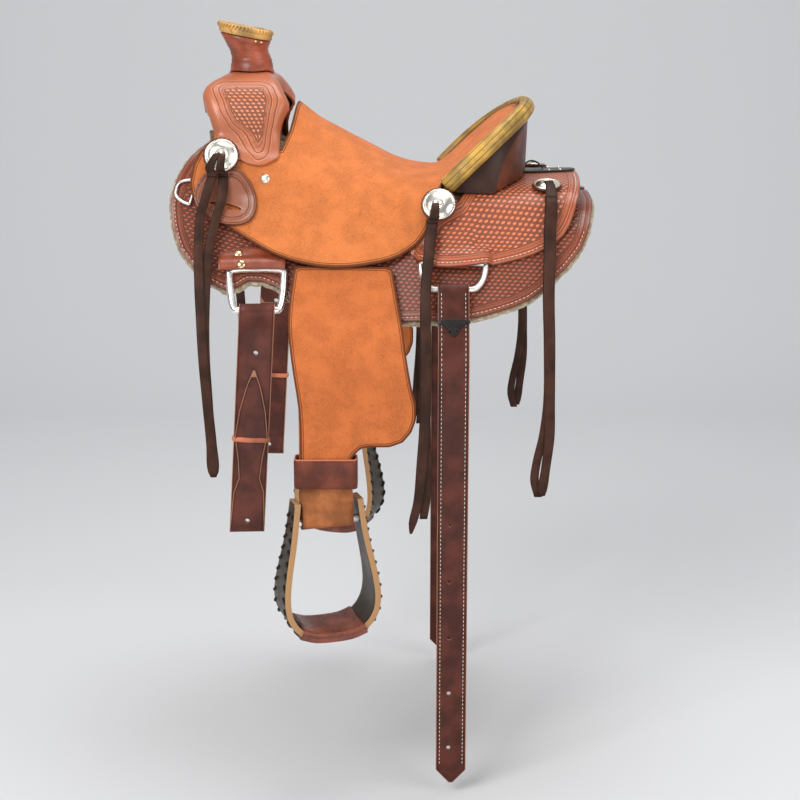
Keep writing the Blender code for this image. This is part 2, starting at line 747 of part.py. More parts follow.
# Conchos and strings
SHANK = 0.007
STRING_THICK = 0.0035
STRING_HANG = {"front": (0.0443, 0.0325, 0.03), "mid": (0.0450, 0.0300, -0.12), "rear": (0.0470, 0.0240, 0.028)}
CONCHOS = (
    # name, x, girth, radius, clearance over the leather, length of the shank down to it
    ("front", -0.272, 0.113, 0.027, 0.0095, 0.0113),
    ("mid", 0.059, 0.150, 0.0265, 0.0095, 0.0151),
    ("rear", 0.225, 0.121, 0.0225, 0.0035, 0.0038),
)


def top_leather(name, clear):
    """Points over the leather that a concho lies on."""
    if name == "rear":
        return lambda x, g: on_form(x, g, jockey_under(x, g) + JOCKEY + clear)
    return lambda x, g: seat_point(x, g, seat_under(x, g) + SEAT + clear, GAP + SEAT + clear)



def conchos():
    for label, x, girth, radius, clear, shank in CONCHOS:
        for name, side in SIDES:
            frame = surface_frame(x, side * girth, top_leather(label, clear))
            outline = [(0, 0.0085), (radius * 0.4, 0.0070), (radius * 0.72, 0.0028), (radius, 0.0022), (radius, 0.0),
                       (SHANK, 0.0), (SHANK, -shank), (0, -shank)]
            turned(f"{label}_concho_{name}", outline, SILVER, frame, steps=16)


STRINGS = {
    # two tails of one lace: (height, x of the middle, width) from the fold down
    "front": (
        ((0.0535, -0.2860, 0.0150), (0.020, -0.2955, 0.0145), (0.0, -0.3015, 0.0145), (-0.04, -0.3037, 0.0145),
         (-0.09, -0.3017, 0.0145), (-0.14, -0.2957, 0.0145), (-0.19, -0.2915, 0.0145), (-0.26, -0.2865, 0.015),
         (-0.33, -0.2815, 0.016), (-0.372, -0.2800, 0.016), (-0.380, -0.2800, 0.009)),
        ((0.0535, -0.2690, 0.0150), (0.020, -0.2705, 0.0150), (0.0, -0.2770, 0.0145), (-0.04, -0.2870, 0.0145),
         (-0.09, -0.2915, 0.0145), (-0.14, -0.2905, 0.0145), (-0.19, -0.2885, 0.0140), (-0.26, -0.2855, 0.0140),
         (-0.30, -0.2835, 0.0130)),
    ),
    "mid": (
        ((-0.0113, 0.0480, 0.0165), (-0.03, 0.0450, 0.0165), (-0.05, 0.0435, 0.0165), (-0.09, 0.0390, 0.0160),
         (-0.14, 0.0375, 0.0160), (-0.20, 0.0385, 0.0165), (-0.30, 0.0370, 0.0165), (-0.36, 0.0330, 0.0165),
         (-0.42, 0.0270, 0.0140), (-0.455, 0.0190, 0.0120), (-0.470, 0.0165, 0.004)),
        ((-0.0113, 0.0490, 0.0160), (-0.05, 0.0440, 0.0160), (-0.09, 0.0395, 0.0155), (-0.14, 0.0380, 0.0155),
         (-0.20, 0.0390, 0.0160), (-0.30, 0.0380, 0.0155), (-0.36, 0.0400, 0.0150), (-0.42, 0.0390, 0.0140),
         (-0.448, 0.0355, 0.0120)),
    ),
    "rear": (
        ((0.0250, 0.2290, 0.0180), (-0.02, 0.2265, 0.0180), (-0.06, 0.2245, 0.0180), (-0.11, 0.2220, 0.0170),
         (-0.18, 0.2215, 0.0165), (-0.27, 0.2230, 0.0160), (-0.32, 0.2240, 0.0150), (-0.37, 0.2190, 0.0140),
         (-0.405, 0.2150, 0.0130), (-0.412, 0.2150, 0.0080)),
        ((0.0250, 0.2280, 0.0170), (-0.02, 0.2255, 0.0170), (-0.06, 0.2235, 0.0165), (-0.11, 0.2210, 0.0160),
         (-0.18, 0.2205, 0.0155), (-0.27, 0.2210, 0.0150), (-0.32, 0.2150, 0.0140), (-0.36, 0.2060, 0.0130),
         (-0.39, 0.2030, 0.0130), (-0.415, 0.2090, 0.0120)),
    ),
}


def strings():
    """Each lace is folded at its concho and hangs as two tails, one over the other."""
    for label, (outer, inner) in STRINGS.items():
        high, low, drop = STRING_HANG[label]
        middles = [(z, x, width, -1) for z, x, width in inner[::-1]] + [(z, x, width, 1) for z, x, width in outer]
        for name, side in SIDES:
            rings = []
            for z, x, width, layer in middles:
                base = high + (low - high) * smooth((drop - z) / 0.06)
                under = base + (STRING_THICK + GAP if layer > 0 else 0)
                lifts = (under, under + STRING_THICK) if layer > 0 else (under + STRING_THICK, under)
                ring = []
                for across, lift in ((-1, lifts[0]), (1, lifts[0]), (1, lifts[1]), (-1, lifts[1])):
                    at = x + across * width / 2
                    ring.append(on_form(at, side * girth_at_height(at, z, lift), lift))
                rings.append(ring)
            fold = len(inner)
            top = []
            for a, b in zip(rings[fold - 1], rings[fold]):
                top.append((a + b) / 2 + Vector((0, 0, 0.0015)))
            rise = Vector((0, 0, STRING_THICK))
            top = [top[0], top[1], top[2] + rise, top[3] + rise]
            loft(f"{label}_string_{name}", rings[:fold] + [top] + rings[fold:], STRING)


# Rigging
KEEPER_EDGE = fair(
    mm((-262, 122), (-244, 121), (-226, 136), (-218, 158), (-221, 180), (-233, 196), (-256, 205), (-280, 204),
       (-301, 195), (-313, 180), (-314, 160), (-303, 140), (-285, 126), (-262, 122)),
    step=0.018,
)
KEEPER = 0.0045
PLATE = 0.003
CHAPE = 0.003


def keeper_under(x, girth):
    return seat_under(x, girth) + SEAT + 2 * GAP


RING_X = -0.2175
RING_GIRTH = 0.262
RING_LIFT = SKIRT_OVER + 1.4 * GAP + RING_WIRE
RING_DROP = 0.066
DEE_X = 0.080
DEE_GIRTH = 0.2195
DEE_LIFT = SKIRT_OVER + 0.012
DEE_DROP = 0.042
DEE_HALF_WIDTH = 0.049
BILLET_WIDTH = 0.054
BILLET_SLANT = 0.064
FLANK_WIDTH = 0.047
FLANK_PLY = 0.0036
BREAST_X = -0.3175
BREAST_GIRTH = 0.160
BREAST_LIFT = SKIRT_OVER + 2 * FIT + BREAST_WIRE


def slope_frame(x, girth, lift, side, follow=False):
    """X level along the saddle, Y down its side, Z out of it; mirrored on the near side."""
    d = 0.03
    at = on_form(x, girth, lift)
    ends = [on_form(e, girth_at_height(e, at.z, lift), lift) for e in (x - d, x + d)]
    along = (ends[1] - ends[0]).normalized() if follow else Vector((1, 0, 0))
    down = (on_form(x, girth + 0.002, lift) - on_form(x, girth - 0.002, lift)).normalized()
    out = along.cross(down).normalized()
    made = Matrix((along, out.cross(along), out)).transposed().to_4x4()
    made.translation = at
    return Matrix.Diagonal((1, side, 1, 1)) @ made


def box(name, size, frame):
    bm = bmesh.new()
    bmesh.ops.create_cube(bm, size=1.0)
    bmesh.ops.scale(bm, vec=size, verts=bm.verts)
    obj = from_bmesh(name, bm, WOOD, CUTTERS)
    obj.matrix_world = frame
    return obj


def dee_points(half, drop, low_half, corner=4):
    """A dee's centre line: a straight bar above, sides that draw in, and a straight foot."""
    points = [(-half, 0), (half, 0)]
    for k in range(1, corner + 1):
        t = math.radians(90 * k / corner)
        points.append((low_half + (half - low_half) * math.cos(t), drop * math.sin(t)))
    return points + [(-x, y) for x, y in points[:1:-1]]


def dee(name, half, drop, low_half, wire_radius, frame, mat):
    points = [frame @ Vector((x, y, 0)) for x, y in dee_points(half, drop, low_half)]
    return wire(name, points, wire_radius, mat)


def form_ribbon(name, path, thickness, x, width, mat, side):
    """A strap along a path of (girth, lift) points; width is a number or a function of the share run."""
    rings = []
    for i, here in enumerate(path):
        before, after = path[max(i - 1, 0)], path[min(i + 1, len(path) - 1)]
        run = Vector((after[0] - before[0], after[1] - before[1])).normalized()
        half = (width(i / (len(path) - 1)) if callable(width) else width) / 2
        ring = []
        for across, sign in ((-1, -1), (1, -1), (1, 1), (-1, 1)):
            girth = here[0] - run.y * sign * thickness / 2
            lift = here[1] + run.x * sign * thickness / 2
            level = on_form(x, girth, lift)
            p = Vector((x + across * half, side * level.y, level.z))
            ring.append(p)
        rings.append(ring)
    return loft(name, rings, mat)


def rigging():
    bar_z = on_form(RING_X, RING_GIRTH, RING_LIFT).z

    def bar_line(x):
        return girth_at_height(x, bar_z, RING_LIFT)

    def plate_under(x, girth):
        fall = min(girth - bar_line(x), 0) / 0.019
        return SKIRT_OVER + GAP + (2 * RING_WIRE + 0.0030) * math.exp(-(fall**4))

    low = [(x, bar_line(x) + 0.004) for x in (-0.274, -0.255, -0.235, -0.215, -0.195, -0.174)]
    plate = fair(low, [low[-1], (-0.173, 0.222)], mm((-173, 222), (-200, 222), (-240, 232), (-275, 250)),
                 [(-0.275, 0.250), low[0]], step=0.02)
    plate_lines = [0.228 + 0.007 * k for k in range(9)]

    for name, side in SIDES:
        panel(f"rigging_plate_{name}", plate, plate_under, lambda x, g: plate_under(x, g) + PLATE, RUSSET, side,
              plate_lines)
        frame = slope_frame(RING_X, RING_GIRTH, RING_LIFT, side, follow=True)
        dee(f"front_ring_{name}", RING_HALF_WIDTH, RING_DROP, 0.031, RING_WIRE, frame, STEEL)
        keeper = panel(f"latigo_keeper_{name}", KEEPER_EDGE, keeper_under, lambda x, g: keeper_under(x, g) + KEEPER,
                       BURGUNDY, side)
        at = surface_frame(-0.266, side * 0.176, lambda x, g: on_form(x, g, keeper_under(x, g)))
        cut(keeper, box(f"keeper_slot_{name}", (0.050, 0.009, 0.05), at))
        off_billet(name, side, frame)
        rear_dee(name, side)
        frame = surface_frame(BREAST_X, side * BREAST_GIRTH, lambda x, g: on_form(x, g, BREAST_LIFT))
        frame = frame @ Matrix.Rotation(math.radians(-90), 4, "Z")
        dee(f"breast_dee_{name}", 0.020, -0.026, 0.004, BREAST_WIRE, frame, STEEL)


def off_billet(name, side, ring):
    """Down from the ring, folded at the bottom and up its own front to a leaf-shaped end."""
    reach = RING_WIRE + 0.0006 + STRAP / 2
    pitch = STRAP + FIT
    fold = -0.345
    path = [(-0.0062, -0.070), (-0.0062, -0.040), (-reach, -0.012)]
    path += arc((0, 0), reach, 180, 0, 6)
    path += [(reach, -0.008), (-0.0062 + pitch, -0.040), (-0.0062 + pitch, -0.19), (-0.0062 + pitch, fold)]
    path += arc((-0.0062 + pitch * 1.5, fold), pitch / 2, 180, 360, 4)[1:]
    leaf = ((-0.285, 0.047), (-0.262, 0.032), (-0.230, 0.038), (-0.195, 0.050), (-0.155, 0.040), (-0.118, 0.022),
            (-0.092, 0.004))
    plain = len(path)
    path += [(-0.0062 + 2 * pitch, z) for z, _ in leaf]
    widths = [BILLET_WIDTH] * plain + [w for _, w in leaf]
    yaw = math.atan2(ring[1][0], ring[0][0])
    frame = Matrix.Translation(ring @ Vector((0, RING_DROP, 0))) @ Matrix.Rotation(yaw, 4, "Z")
    frame = frame @ Matrix.Shear("XY", 4, (BILLET_SLANT, 0.0)) @ Matrix.Diagonal((1, side, 1, 1))
    ribbon(f"off_billet_{name}", path, STRAP, lambda t: widths[round(t * (len(path) - 1))], BURGUNDY, frame)


def rear_dee(name, side):
    frame = slope_frame(DEE_X, DEE_GIRTH, DEE_LIFT, side)
    dee(f"rear_dee_{name}", DEE_HALF_WIDTH, DEE_DROP, 0.027, DEE_WIRE, frame, STEEL)
    loop = DEE_WIRE + 0.0004 + 0.0015
    path = [(0.176, DEE_LIFT - loop), (0.190, DEE_LIFT - loop), (0.205, DEE_LIFT - loop)]
    path += arc((DEE_GIRTH, DEE_LIFT), loop, -90, 120, 7)
    form_ribbon(f"rear_dee_chape_{name}", path, CHAPE, DEE_X, 0.046, RUSSET, side)
    hook = frame @ Vector((0, DEE_DROP, 0))
    foot = solve(lambda g: (on_form(DEE_X, g + 0.001, 0) - on_form(DEE_X, g, 0)).dot(
        on_form(DEE_X, g, 0) - Vector((DEE_X, abs(hook.y), hook.z))), 0, 0.15, 0.35)
    over = (Vector((DEE_X, abs(hook.y), hook.z)) - on_form(DEE_X, foot, 0)).length
    loop = DEE_WIRE + 0.0006 + FLANK_PLY / 2
    under = DEE_LIFT - loop
    path = [(foot + 0.055, under + 0.0035), (foot + 0.025, under + 0.0035)] + arc((foot, over), loop, 270, 90, 8)
    path += [(foot + 0.010, over + loop - 0.001), (foot + 0.045, under + FLANK_PLY + 0.005),
             (0.33, under + FLANK_PLY + 0.001), (0.36, under + 0.001), (0.39, under), (0.42, under), (0.60, under),
             (0.80, under), (1.00, under), (1.022, under), (1.044, under)]
    plain = len(path) - 2
    widths = [FLANK_WIDTH] * (plain + 1) + [0.004]
    form_ribbon(f"flank_billet_{name}", path, FLANK_PLY, DEE_X, lambda t: widths[round(t * (len(path) - 1))],
                BURGUNDY, side)


# Fenders, leathers and stirrups
HOBBLE_TOP = -0.356
HOBBLE_FOOT = -0.401
BOLT_Z = -0.457
LEATHER_UNDER = SKIRT_OVER + GAP
PLY = 0.004
BOLT_Y = HANG_Y + LEATHER_UNDER + LEATHERS - PLY - 0.0005 - BOLT


def fender_outline():
    lift = FENDER_UNDER + FENDER / 2

    def level(x, z):
        return x, girth_at_height(x, z, lift)

    top = [level(x, FOLD_Z - 0.0015) for x in (-0.160, -0.13, -0.09, -0.05, -0.012)]
    front = mm((-167, 310), (-167, 345), (-163, 372), (-157, 405), (-152, 440), (-150, 475))
    rear = mm((-66, 500), (-60, 492), (-46, 488), (-15, 487), (4, 480), (17, 465), (24, 446), (24, 423), (18, 400),
              (9, 356), (3, 316), (-4, 276))
    foot = HOBBLE_FOOT + 0.012
    return fair(
        [top[0]] + front + [level(-0.150, HOBBLE_TOP), level(-0.150, foot)],
        [level(-0.150, foot), level(-0.072, foot)],
        [level(-0.072, foot), level(-0.072, HOBBLE_TOP + 0.004)],
        [level(-0.072, HOBBLE_TOP + 0.004)] + rear + [top[-1]],
        top[::-1],
    )


def twist(point, side):
    """Turns the foot of the leathers, and the stirrup under it, to face forwards."""
    share = smooth((HOBBLE_FOOT - point.z) / 0.035)
    centre = Matrix.Translation((LEG_X, side * BOLT_Y, 0))
    return centre @ Matrix.Rotation(-side * STIRRUP_TURN * share, 4, "Z") @ centre.inverted() @ point


def fenders():
    for name, side in SIDES:
        panel(f"fender_{name}", fender_outline(), lambda x, g: FENDER_UNDER, lambda x, g: FENDER_UNDER + FENDER,
              SUEDE, side, [0.24 + 0.02 * k for k in range(10)])
        x0, x1 = LEG_X - LEG_WIDTH / 2, LEG_X + LEG_WIDTH / 2
        high = [(z, x0, x1) for z in (-0.030, -0.050, FOLD_Z + 0.0015)]
        strip(f"upper_leather_{name}", high, LEATHER_UNDER, LEATHERS, SUEDE, side)
        leathers(name, side, x0, x1)
        hobble(name, side, x0, x1)
        stirrup(name, side)


def leathers(name, side, x0, x1):
    """Down behind the fender, round the stirrup bolt and up inside."""
    rings = []
    for z in (-0.095, -0.107, -0.12, -0.14, -0.16, -0.18, -0.20, -0.22, -0.25, -0.30, HOBBLE_TOP):
        ring = []
        for x, lift in ((x0, 0), (x1, 0), (x1, LEATHERS), (x0, LEATHERS)):
            girth = girth_at_height(x, z, LEATHER_UNDER + LEATHERS / 2)
            ring.append(on_form(x, side * girth, LEATHER_UNDER + lift))
        rings.append(ring)
    outer = HANG_Y + LEATHER_UNDER + LEATHERS
    inner = outer - PLY
    radius = BOLT + 0.0005
    loop = [((inner, z), (outer, z)) for z in (-0.385, -0.40, -0.412, -0.424, -0.438)]
    for k in range(9):
        a = math.radians(180 * k / 8)
        near = (BOLT_Y + radius * math.cos(a), BOLT_Z - radius * math.sin(a))
        far = (BOLT_Y + (radius + PLY) * math.cos(a), BOLT_Z - (radius + PLY) * math.sin(a))
        loop.append((near, far))
    back = 2 * BOLT_Y
    loop += [((back - inner, z), (back - outer, z)) for z in (-0.438, -0.424, -0.412, -0.402)]
    for near, far in loop:
        ring = [(x0, *near), (x1, *near), (x1, *far), (x0, *far)]
        rings.append([twist(Vector((x, side * y, z)), side) for x, y, z in ring])
    loft(f"stirrup_leather_{name}", rings, SUEDE)


def hobble(name, side, x0, x1):
    low_y = 2 * BOLT_Y - (HANG_Y + LEATHER_UNDER + LEATHERS) + 0.0015
    high_y = HANG_Y + FENDER_UNDER + FENDER + 0.0008
    wall = 0.0035
    corner = 0.004

    def loop(grow, z):
        made = []
        for cx, cy, start in ((x1, high_y, 0), (x0, high_y, 90), (x0, low_y, 180), (x1, low_y, 270)):
            cx += 0.0045 if cx == x1 else -0.0045
            sx, sy = (1 if start in (0, 270) else -1), (1 if start in (0, 90) else -1)
            for p in arc((cx - sx * corner, cy - sy * corner), corner + grow, start, start + 90, 3):
                made.append(Vector((p[0], side * p[1], z)))
        return made

    rings = [loop(0, HOBBLE_TOP), loop(wall, HOBBLE_TOP), loop(wall, HOBBLE_FOOT), loop(0, HOBBLE_FOOT)]
    loft(f"hobble_strap_{name}", rings, BURGUNDY, closed=True)


STIRRUP_SIDE = ((0.035, 0.049, 0.034), (0.012, 0.0515, 0.036), (-0.030, 0.0575, 0.044), (-0.070, 0.066, 0.056),
                (-0.105, 0.0715, 0.068), (-0.130, 0.071, 0.074), (-0.150, 0.064, STIRRUP_DEPTH),
                (-0.166, 0.050, STIRRUP_DEPTH), (-0.173, 0.032, STIRRUP_DEPTH), (-0.175, 0.015, STIRRUP_DEPTH))


def stirrup(name, side):
    frame = Matrix.Translation((LEG_X, side * BOLT_Y, BOLT_Z))
    frame = frame @ Matrix.Rotation(-side * STIRRUP_TURN, 4, "Z") @ Matrix.Rotation(math.radians(-90), 4, "Z")
    half = [(-x, z, w) for z, x, w in STIRRUP_SIDE]
    whole = half + [(-x, z, w) for x, z, w in half[::-1]]
    widths = [w for _, _, w in whole]
    path = [(x, z) for x, z, _ in whole]
    body = ribbon(f"stirrup_{name}", path, STIRRUP_PLY, lambda t: widths[round(t * (len(path) - 1))], BRONZE, frame)
    across = frame @ Matrix.Rotation(math.radians(90), 4, "X")
    cut(body, cylinder(f"bolt_hole_{name}", BOLT + BOLT_ROOM, 0.16, across))
    cylinder(f"stirrup_bolt_{name}", BOLT, BOLT_LENGTH, across, STEEL, SADDLE)
    tread(name, frame)


def tread(name, frame):
    """The leather wrapped round the foot rest."""
    stations = [(-x, z) for z, x, _ in STIRRUP_SIDE if z < -0.16]
    line = stations + [(-x, z) for x, z in stations[::-1]]
    clear = STIRRUP_PLY / 2 + FIT + 0.0005
    rows = []
    for grow in (TREAD_WRAP, 0.0):
        rings = []
        for i, (x, z) in enumerate(line):
            before, after = line[max(i - 1, 0)], line[min(i + 1, len(line) - 1)]
            run = Vector((after[0] - before[0], after[1] - before[1])).normalized()
            normal = Vector((0, -run.y, run.x)) * (clear + grow)
            half = STIRRUP_DEPTH / 2 + FIT + 0.0005 + grow
            centre = Vector((0, x, z))
            rings.append([frame @ p for p in (
                centre + Vector((-half, 0, 0)) - normal, centre + Vector((half, 0, 0)) - normal,
                centre + Vector((half, 0, 0)) + normal, centre + Vector((-half, 0, 0)) + normal)])
        rows.append(rings)
    loft(f"stirrup_tread_{name}", rows[0] + rows[1][::-1], BURGUNDY, closed=True)


skirts()
tree()
fork_cover()
horn()
seat()
cantle_trim()
conchos()
strings()
rigging()
fenders()
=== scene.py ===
"""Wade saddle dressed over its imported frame: tooled and rough-out leathers, woolskin, rawhide and silver.

Metres, +Z up. The horn points to -X, the cantle to +X, and the near side is -Y. Each leather is cut
flat and laid over the saddle's form by the same patterns as the solids, so it stays where they are.
"""
import functools
import math

import bmesh
import bpy
import numpy as np
from mathutils import Matrix, Vector, noise


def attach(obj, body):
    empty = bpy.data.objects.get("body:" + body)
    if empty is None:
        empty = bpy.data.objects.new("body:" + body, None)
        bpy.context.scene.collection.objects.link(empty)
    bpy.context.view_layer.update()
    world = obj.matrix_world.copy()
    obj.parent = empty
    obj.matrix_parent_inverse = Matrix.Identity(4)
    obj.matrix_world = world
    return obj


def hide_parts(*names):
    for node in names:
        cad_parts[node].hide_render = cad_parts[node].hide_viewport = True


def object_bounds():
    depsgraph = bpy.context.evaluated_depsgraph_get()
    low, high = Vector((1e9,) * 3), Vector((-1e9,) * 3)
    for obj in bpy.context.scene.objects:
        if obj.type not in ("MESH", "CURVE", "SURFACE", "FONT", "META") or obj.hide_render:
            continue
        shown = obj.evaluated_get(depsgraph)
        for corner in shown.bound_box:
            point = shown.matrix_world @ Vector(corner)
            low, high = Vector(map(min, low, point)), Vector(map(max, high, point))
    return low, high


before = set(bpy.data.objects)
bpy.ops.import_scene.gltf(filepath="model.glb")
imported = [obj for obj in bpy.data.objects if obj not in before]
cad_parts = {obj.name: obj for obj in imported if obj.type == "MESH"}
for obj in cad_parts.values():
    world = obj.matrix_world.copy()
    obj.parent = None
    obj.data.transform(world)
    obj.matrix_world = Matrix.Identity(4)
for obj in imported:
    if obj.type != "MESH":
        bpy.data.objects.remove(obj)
CAD_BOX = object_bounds()

# Layers, from the horse outwards
LINING = 0.009
SKIRT = 0.0045
JOCKEY = 0.0045
SEAT = 0.0045
FENDER = 0.005
LEATHERS = 0.0075
GAP = 0.001
FIT = 0.0003
PLAY = 0.0006
SKIRT_UNDER = LINING + GAP
SKIRT_OVER = SKIRT_UNDER + SKIRT
LEATHER_UNDER = SKIRT_OVER + GAP
FENDER_UNDER = LEATHER_UNDER + LEATHERS + 2 * GAP
KEEPER = 0.0045
RIGGING = 0.003
BACKING = 0.0035
STRING_THICK = 0.0035

# The form
STATIONS = (
    # x, ridge height, top slope in degrees, girth at which the side turns down
    (-0.34, 0.122, 36, 0.04),
    (-0.22, 0.092, 32, 0.04),
    (-0.06, 0.036, 18, 0.06),
    (0.06, 0.008, 9, 0.08),
    (0.18, 0.002, 6, 0.09),
    (0.31, 0.004, 5, 0.09),
)
RIDGE_ROUND = 0.05
SIDE_SLOPE = 61
TURN = 0.12
HANG_START = 0.32
HANG_TURN = 0.09
HANG_Y = 0.252
PULL_START = 0.3
PULL_RUN = 0.12
BAR_EDGE = 0.1
BAR_EDGE_REAR = 0.13
BAR_FALL = 0.06
RAISE = 0.0245
FENDER_ROOM = 0.011

# Cantle, an oval plate leaning back
CANTLE_CENTRE = (0.11, 0.072)
CANTLE_LEAN = math.radians(46)
CANTLE_HALF_WIDTH = 0.166
CANTLE_REACH = 0.128
CANTLE_POWER = 2.2
CANTLE_DISH = 0.6
CANTLE_WOOD = 0.012
CANTLE_PLAY = 0.0016
CANTLE_END = math.radians(106)
BINDING_FRONT = 0.0075
BINDING_BACK = 0.019
BINDING_IN = 0.015
BINDING_OUT = 0.004
# Where the height of the jockeys behind the cantle is taken
BACK_X = 0.16
BACK_FILL = 0.93

# Fork and horn
FORK_HALF_WIDTH = 0.112
FORK_FOOT = 0.1
FORK_RISE = 0.105
FORK_POWER = 2.6
FORK_COVER = 0.0042
# The cover wraps over the front and back of the fork, and its side lobes lie on the seat
WRAP_RADIUS = 0.016
WRAP_QUARTER = WRAP_RADIUS * math.pi / 2
COVER_FRONT = 0.03
COVER_REAR = 0.014
COVER_FLAT = 0.095
COVER_LENGTH = WRAP_RADIUS * math.pi + COVER_FLAT
CROWN_FLAT = 0.0225
LOBE_START = 0.16
LOBE_GIRTH = 0.083
LOBE_BLEND = 0.014
HORN_CENTRE = -0.2345
HORN_FORWARD = 0.009
HORN_POST = 0.021
HORN_CAP = 0.0415
HORN_TILT = math.radians(11)

# Hardware
RING_WIRE = 0.0055
RING_HALF_WIDTH = 0.0415
DEE_WIRE = 0.0045
BREAST_WIRE = 0.0025
STRAP_PLY = 0.0045
BOLT = 0.006
STIRRUP_TURN = math.radians(18)
STIRRUP_DEPTH = 0.076
STIRRUP_PLY = 0.009
TREAD_WRAP = 0.004
LEG_X = -0.112
LEG_WIDTH = 0.08
FOLD_Z = -0.076
RING_X = -0.2175
RING_GIRTH = 0.262
RING_LIFT = SKIRT_OVER + 1.4 * GAP + RING_WIRE
RING_DROP = 0.066
DEE_X = 0.08
DEE_GIRTH = 0.2195
DEE_LIFT = SKIRT_OVER + 0.012
DEE_DROP = 0.042
DEE_HALF_WIDTH = 0.049
BILLET_WIDTH = 0.054
BILLET_SLANT = 0.064
BILLET_FOLD = -0.345
BILLET_FRONT = -0.0062
FLANK_WIDTH = 0.047
FLANK_PLY = 0.0036
HOBBLE_TOP = -0.356
HOBBLE_FOOT = -0.401
BOLT_Z = -0.457
PLY = 0.004
LOOP = BOLT + 0.0005
BOLT_Y = HANG_Y + LEATHER_UNDER + LEATHERS - PLY - LOOP

# Tooling, stitches and small trim
CELL = 0.008
ROUND_OFF = 0.0011
WOOL_PROUD = 0.0035
STAMP_HEIGHT = 0.68  # for a length of one
SEWN_IN = 0.0055  # from the edge
LINE = 0.0022  # width of a border line
BAND = 0.009  # from one border line to the next
MOON = 0.0075  # pitch and height of the half-moon stamps
STITCH = 0.0042
STITCH_PITCH = 0.0066
STITCH_RADIUS = 0.00055
STUD = 0.0026
HORN_STUD = 0.0023
SEAT_SCREW = 0.0075
POST = 0.006
RIVET = 0.0068
RIVETS = ((-0.246, 0.243), (-0.24, 0.2635))
RIDGE_STUDS = ((0.196, 0.018), (0.238, 0.017), (0.256, 0.014))
LACE_LAPS = 44
LACE_LAP_POINTS = 10
LACING_PITCH = 0.0175
QUARTER_X = Matrix.Rotation(math.radians(90), 4, "X")

# Camera, backdrop and lamps
CAMERA = (0, -2.7, 0.34)
CAMERA_DOWN = math.radians(14)
LENS = 75.3
WALL_Y = 2.2
COVE = 1.2
AIM = Vector((-0.05, 0, -0.15))
LAMPS = (
    # name, place, size, power
    ("key", (-1.6, -2.4, 1.9), 1.6, 62),
    ("fill", (2.3, -2.0, 0.9), 2.0, 30),
    ("top", (0.2, 0.2, 2.6), 1.8, 42),
    ("low", (0.0, -2.6, -0.6), 1.6, 12),
)


def smooth(t):
    t = min(max(t, 0.0), 1.0)
    return t * t * (3 - 2 * t)


def soft_max(a, b, radius):
    return (a + b + math.hypot(a - b, radius)) / 2


def through(knots, t):
    """Value at t of a smooth curve through (t, value) knots, straight beyond its ends."""
    slopes = [(b[1] - a[1]) / (b[0] - a[0]) for a, b in zip(knots, knots[1:])]
    if t <= knots[0][0]:
        return knots[0][1] + slopes[0] * (t - knots[0][0])
    if t >= knots[-1][0]:
        return knots[-1][1] + slopes[-1] * (t - knots[-1][0])
    tangents = [slopes[0]] + [(a + b) / 2 for a, b in zip(slopes, slopes[1:])] + [slopes[-1]]
    i = max(j for j in range(len(knots) - 1) if knots[j][0] <= t)
    (t0, v0), (t1, v1) = knots[i], knots[i + 1]
    h = t1 - t0
    u = (t - t0) / h
    ease = u * u * (3 - 2 * u)
    return (
        v0 + (v1 - v0) * ease
        + h * tangents[i] * (u**3 - 2 * u**2 + u)
        + h * tangents[i + 1] * (u**3 - u**2)
    )


@functools.lru_cache(maxsize=None)
def station(x):
    """Ridge height, top slope and turn girth of the form at x."""
    return tuple(through([(s[0], s[k]) for s in STATIONS], x) for k in (1, 2, 3))


@functools.lru_cache(maxsize=None)
def profile(x, girth):
    """(y, z, slope) of the form at a girth of zero or more."""
    ridge, top, turn = station(x)
    steps = max(2, math.ceil(girth / 0.004))
    step = girth / steps

    def slope(g):
        return math.radians(
            top * smooth(g / RIDGE_ROUND)
            + (SIDE_SLOPE - top) * smooth((g - turn) / TURN)
            + (90 - SIDE_SLOPE) * smooth((g - HANG_START) / HANG_TURN)
        )

    y, z = 0.0, ridge
    for i in range(steps):
        a = slope((i + 0.5) * step)
        y += step * math.cos(a)
        z -= step * math.sin(a)
    y += (HANG_Y - y) * smooth((girth - PULL_START) / PULL_RUN)
    return y, z, slope(girth)


def on_form(x, girth, lift):
    """A point of the form, lifted square to it."""
    y, z, slope = profile(round(x, 6), round(abs(girth), 6))
    y += lift * math.sin(slope)
    z += lift * math.cos(slope)
    return Vector((x, math.copysign(y, girth), z))


def solve(function, target, low, high):
    """Where a rising function reaches the target."""
    for _ in range(40):
        middle = (low + high) / 2
        if function(middle) < target:
            low = middle
        else:
            high = middle
    return (low + high) / 2


def girth_at_height(x, z, lift):
    """The girth at which the lifted form is at a height."""
    return solve(lambda g: -on_form(x, g, lift).z, -z, 0.0, 1.1)


def girth_at_reach(x, y, lift):
    """The girth at which the lifted form is at a width."""
    return solve(lambda g: on_form(x, g, lift).y, y, 0.0, 0.3)


def raised(x, girth):
    """How far the bars lift the leathers over them: all of RAISE near the centre, none below."""
    edge = BAR_EDGE + (BAR_EDGE_REAR - BAR_EDGE) * smooth((x + 0.02) / 0.06)
    return RAISE * (1 - smooth((abs(girth) - edge) / BAR_FALL))


def jockey_under(x, girth):
    """Underside of the rear jockey, which leaves room for the rear dee's chape and for its bar."""

    def room(height, start, run, half):
        return height * smooth((abs(girth) - start) / run) * (1 - smooth((abs(x - 0.081) - half) / 0.01))

    chape = room(0.0095, 0.15, 0.04, 0.025)
    bar = room(0.0162, 0.19, 0.018, 0.048)
    return SKIRT_OVER + 0.8 * GAP + raised(x, girth) + max(chape, bar)


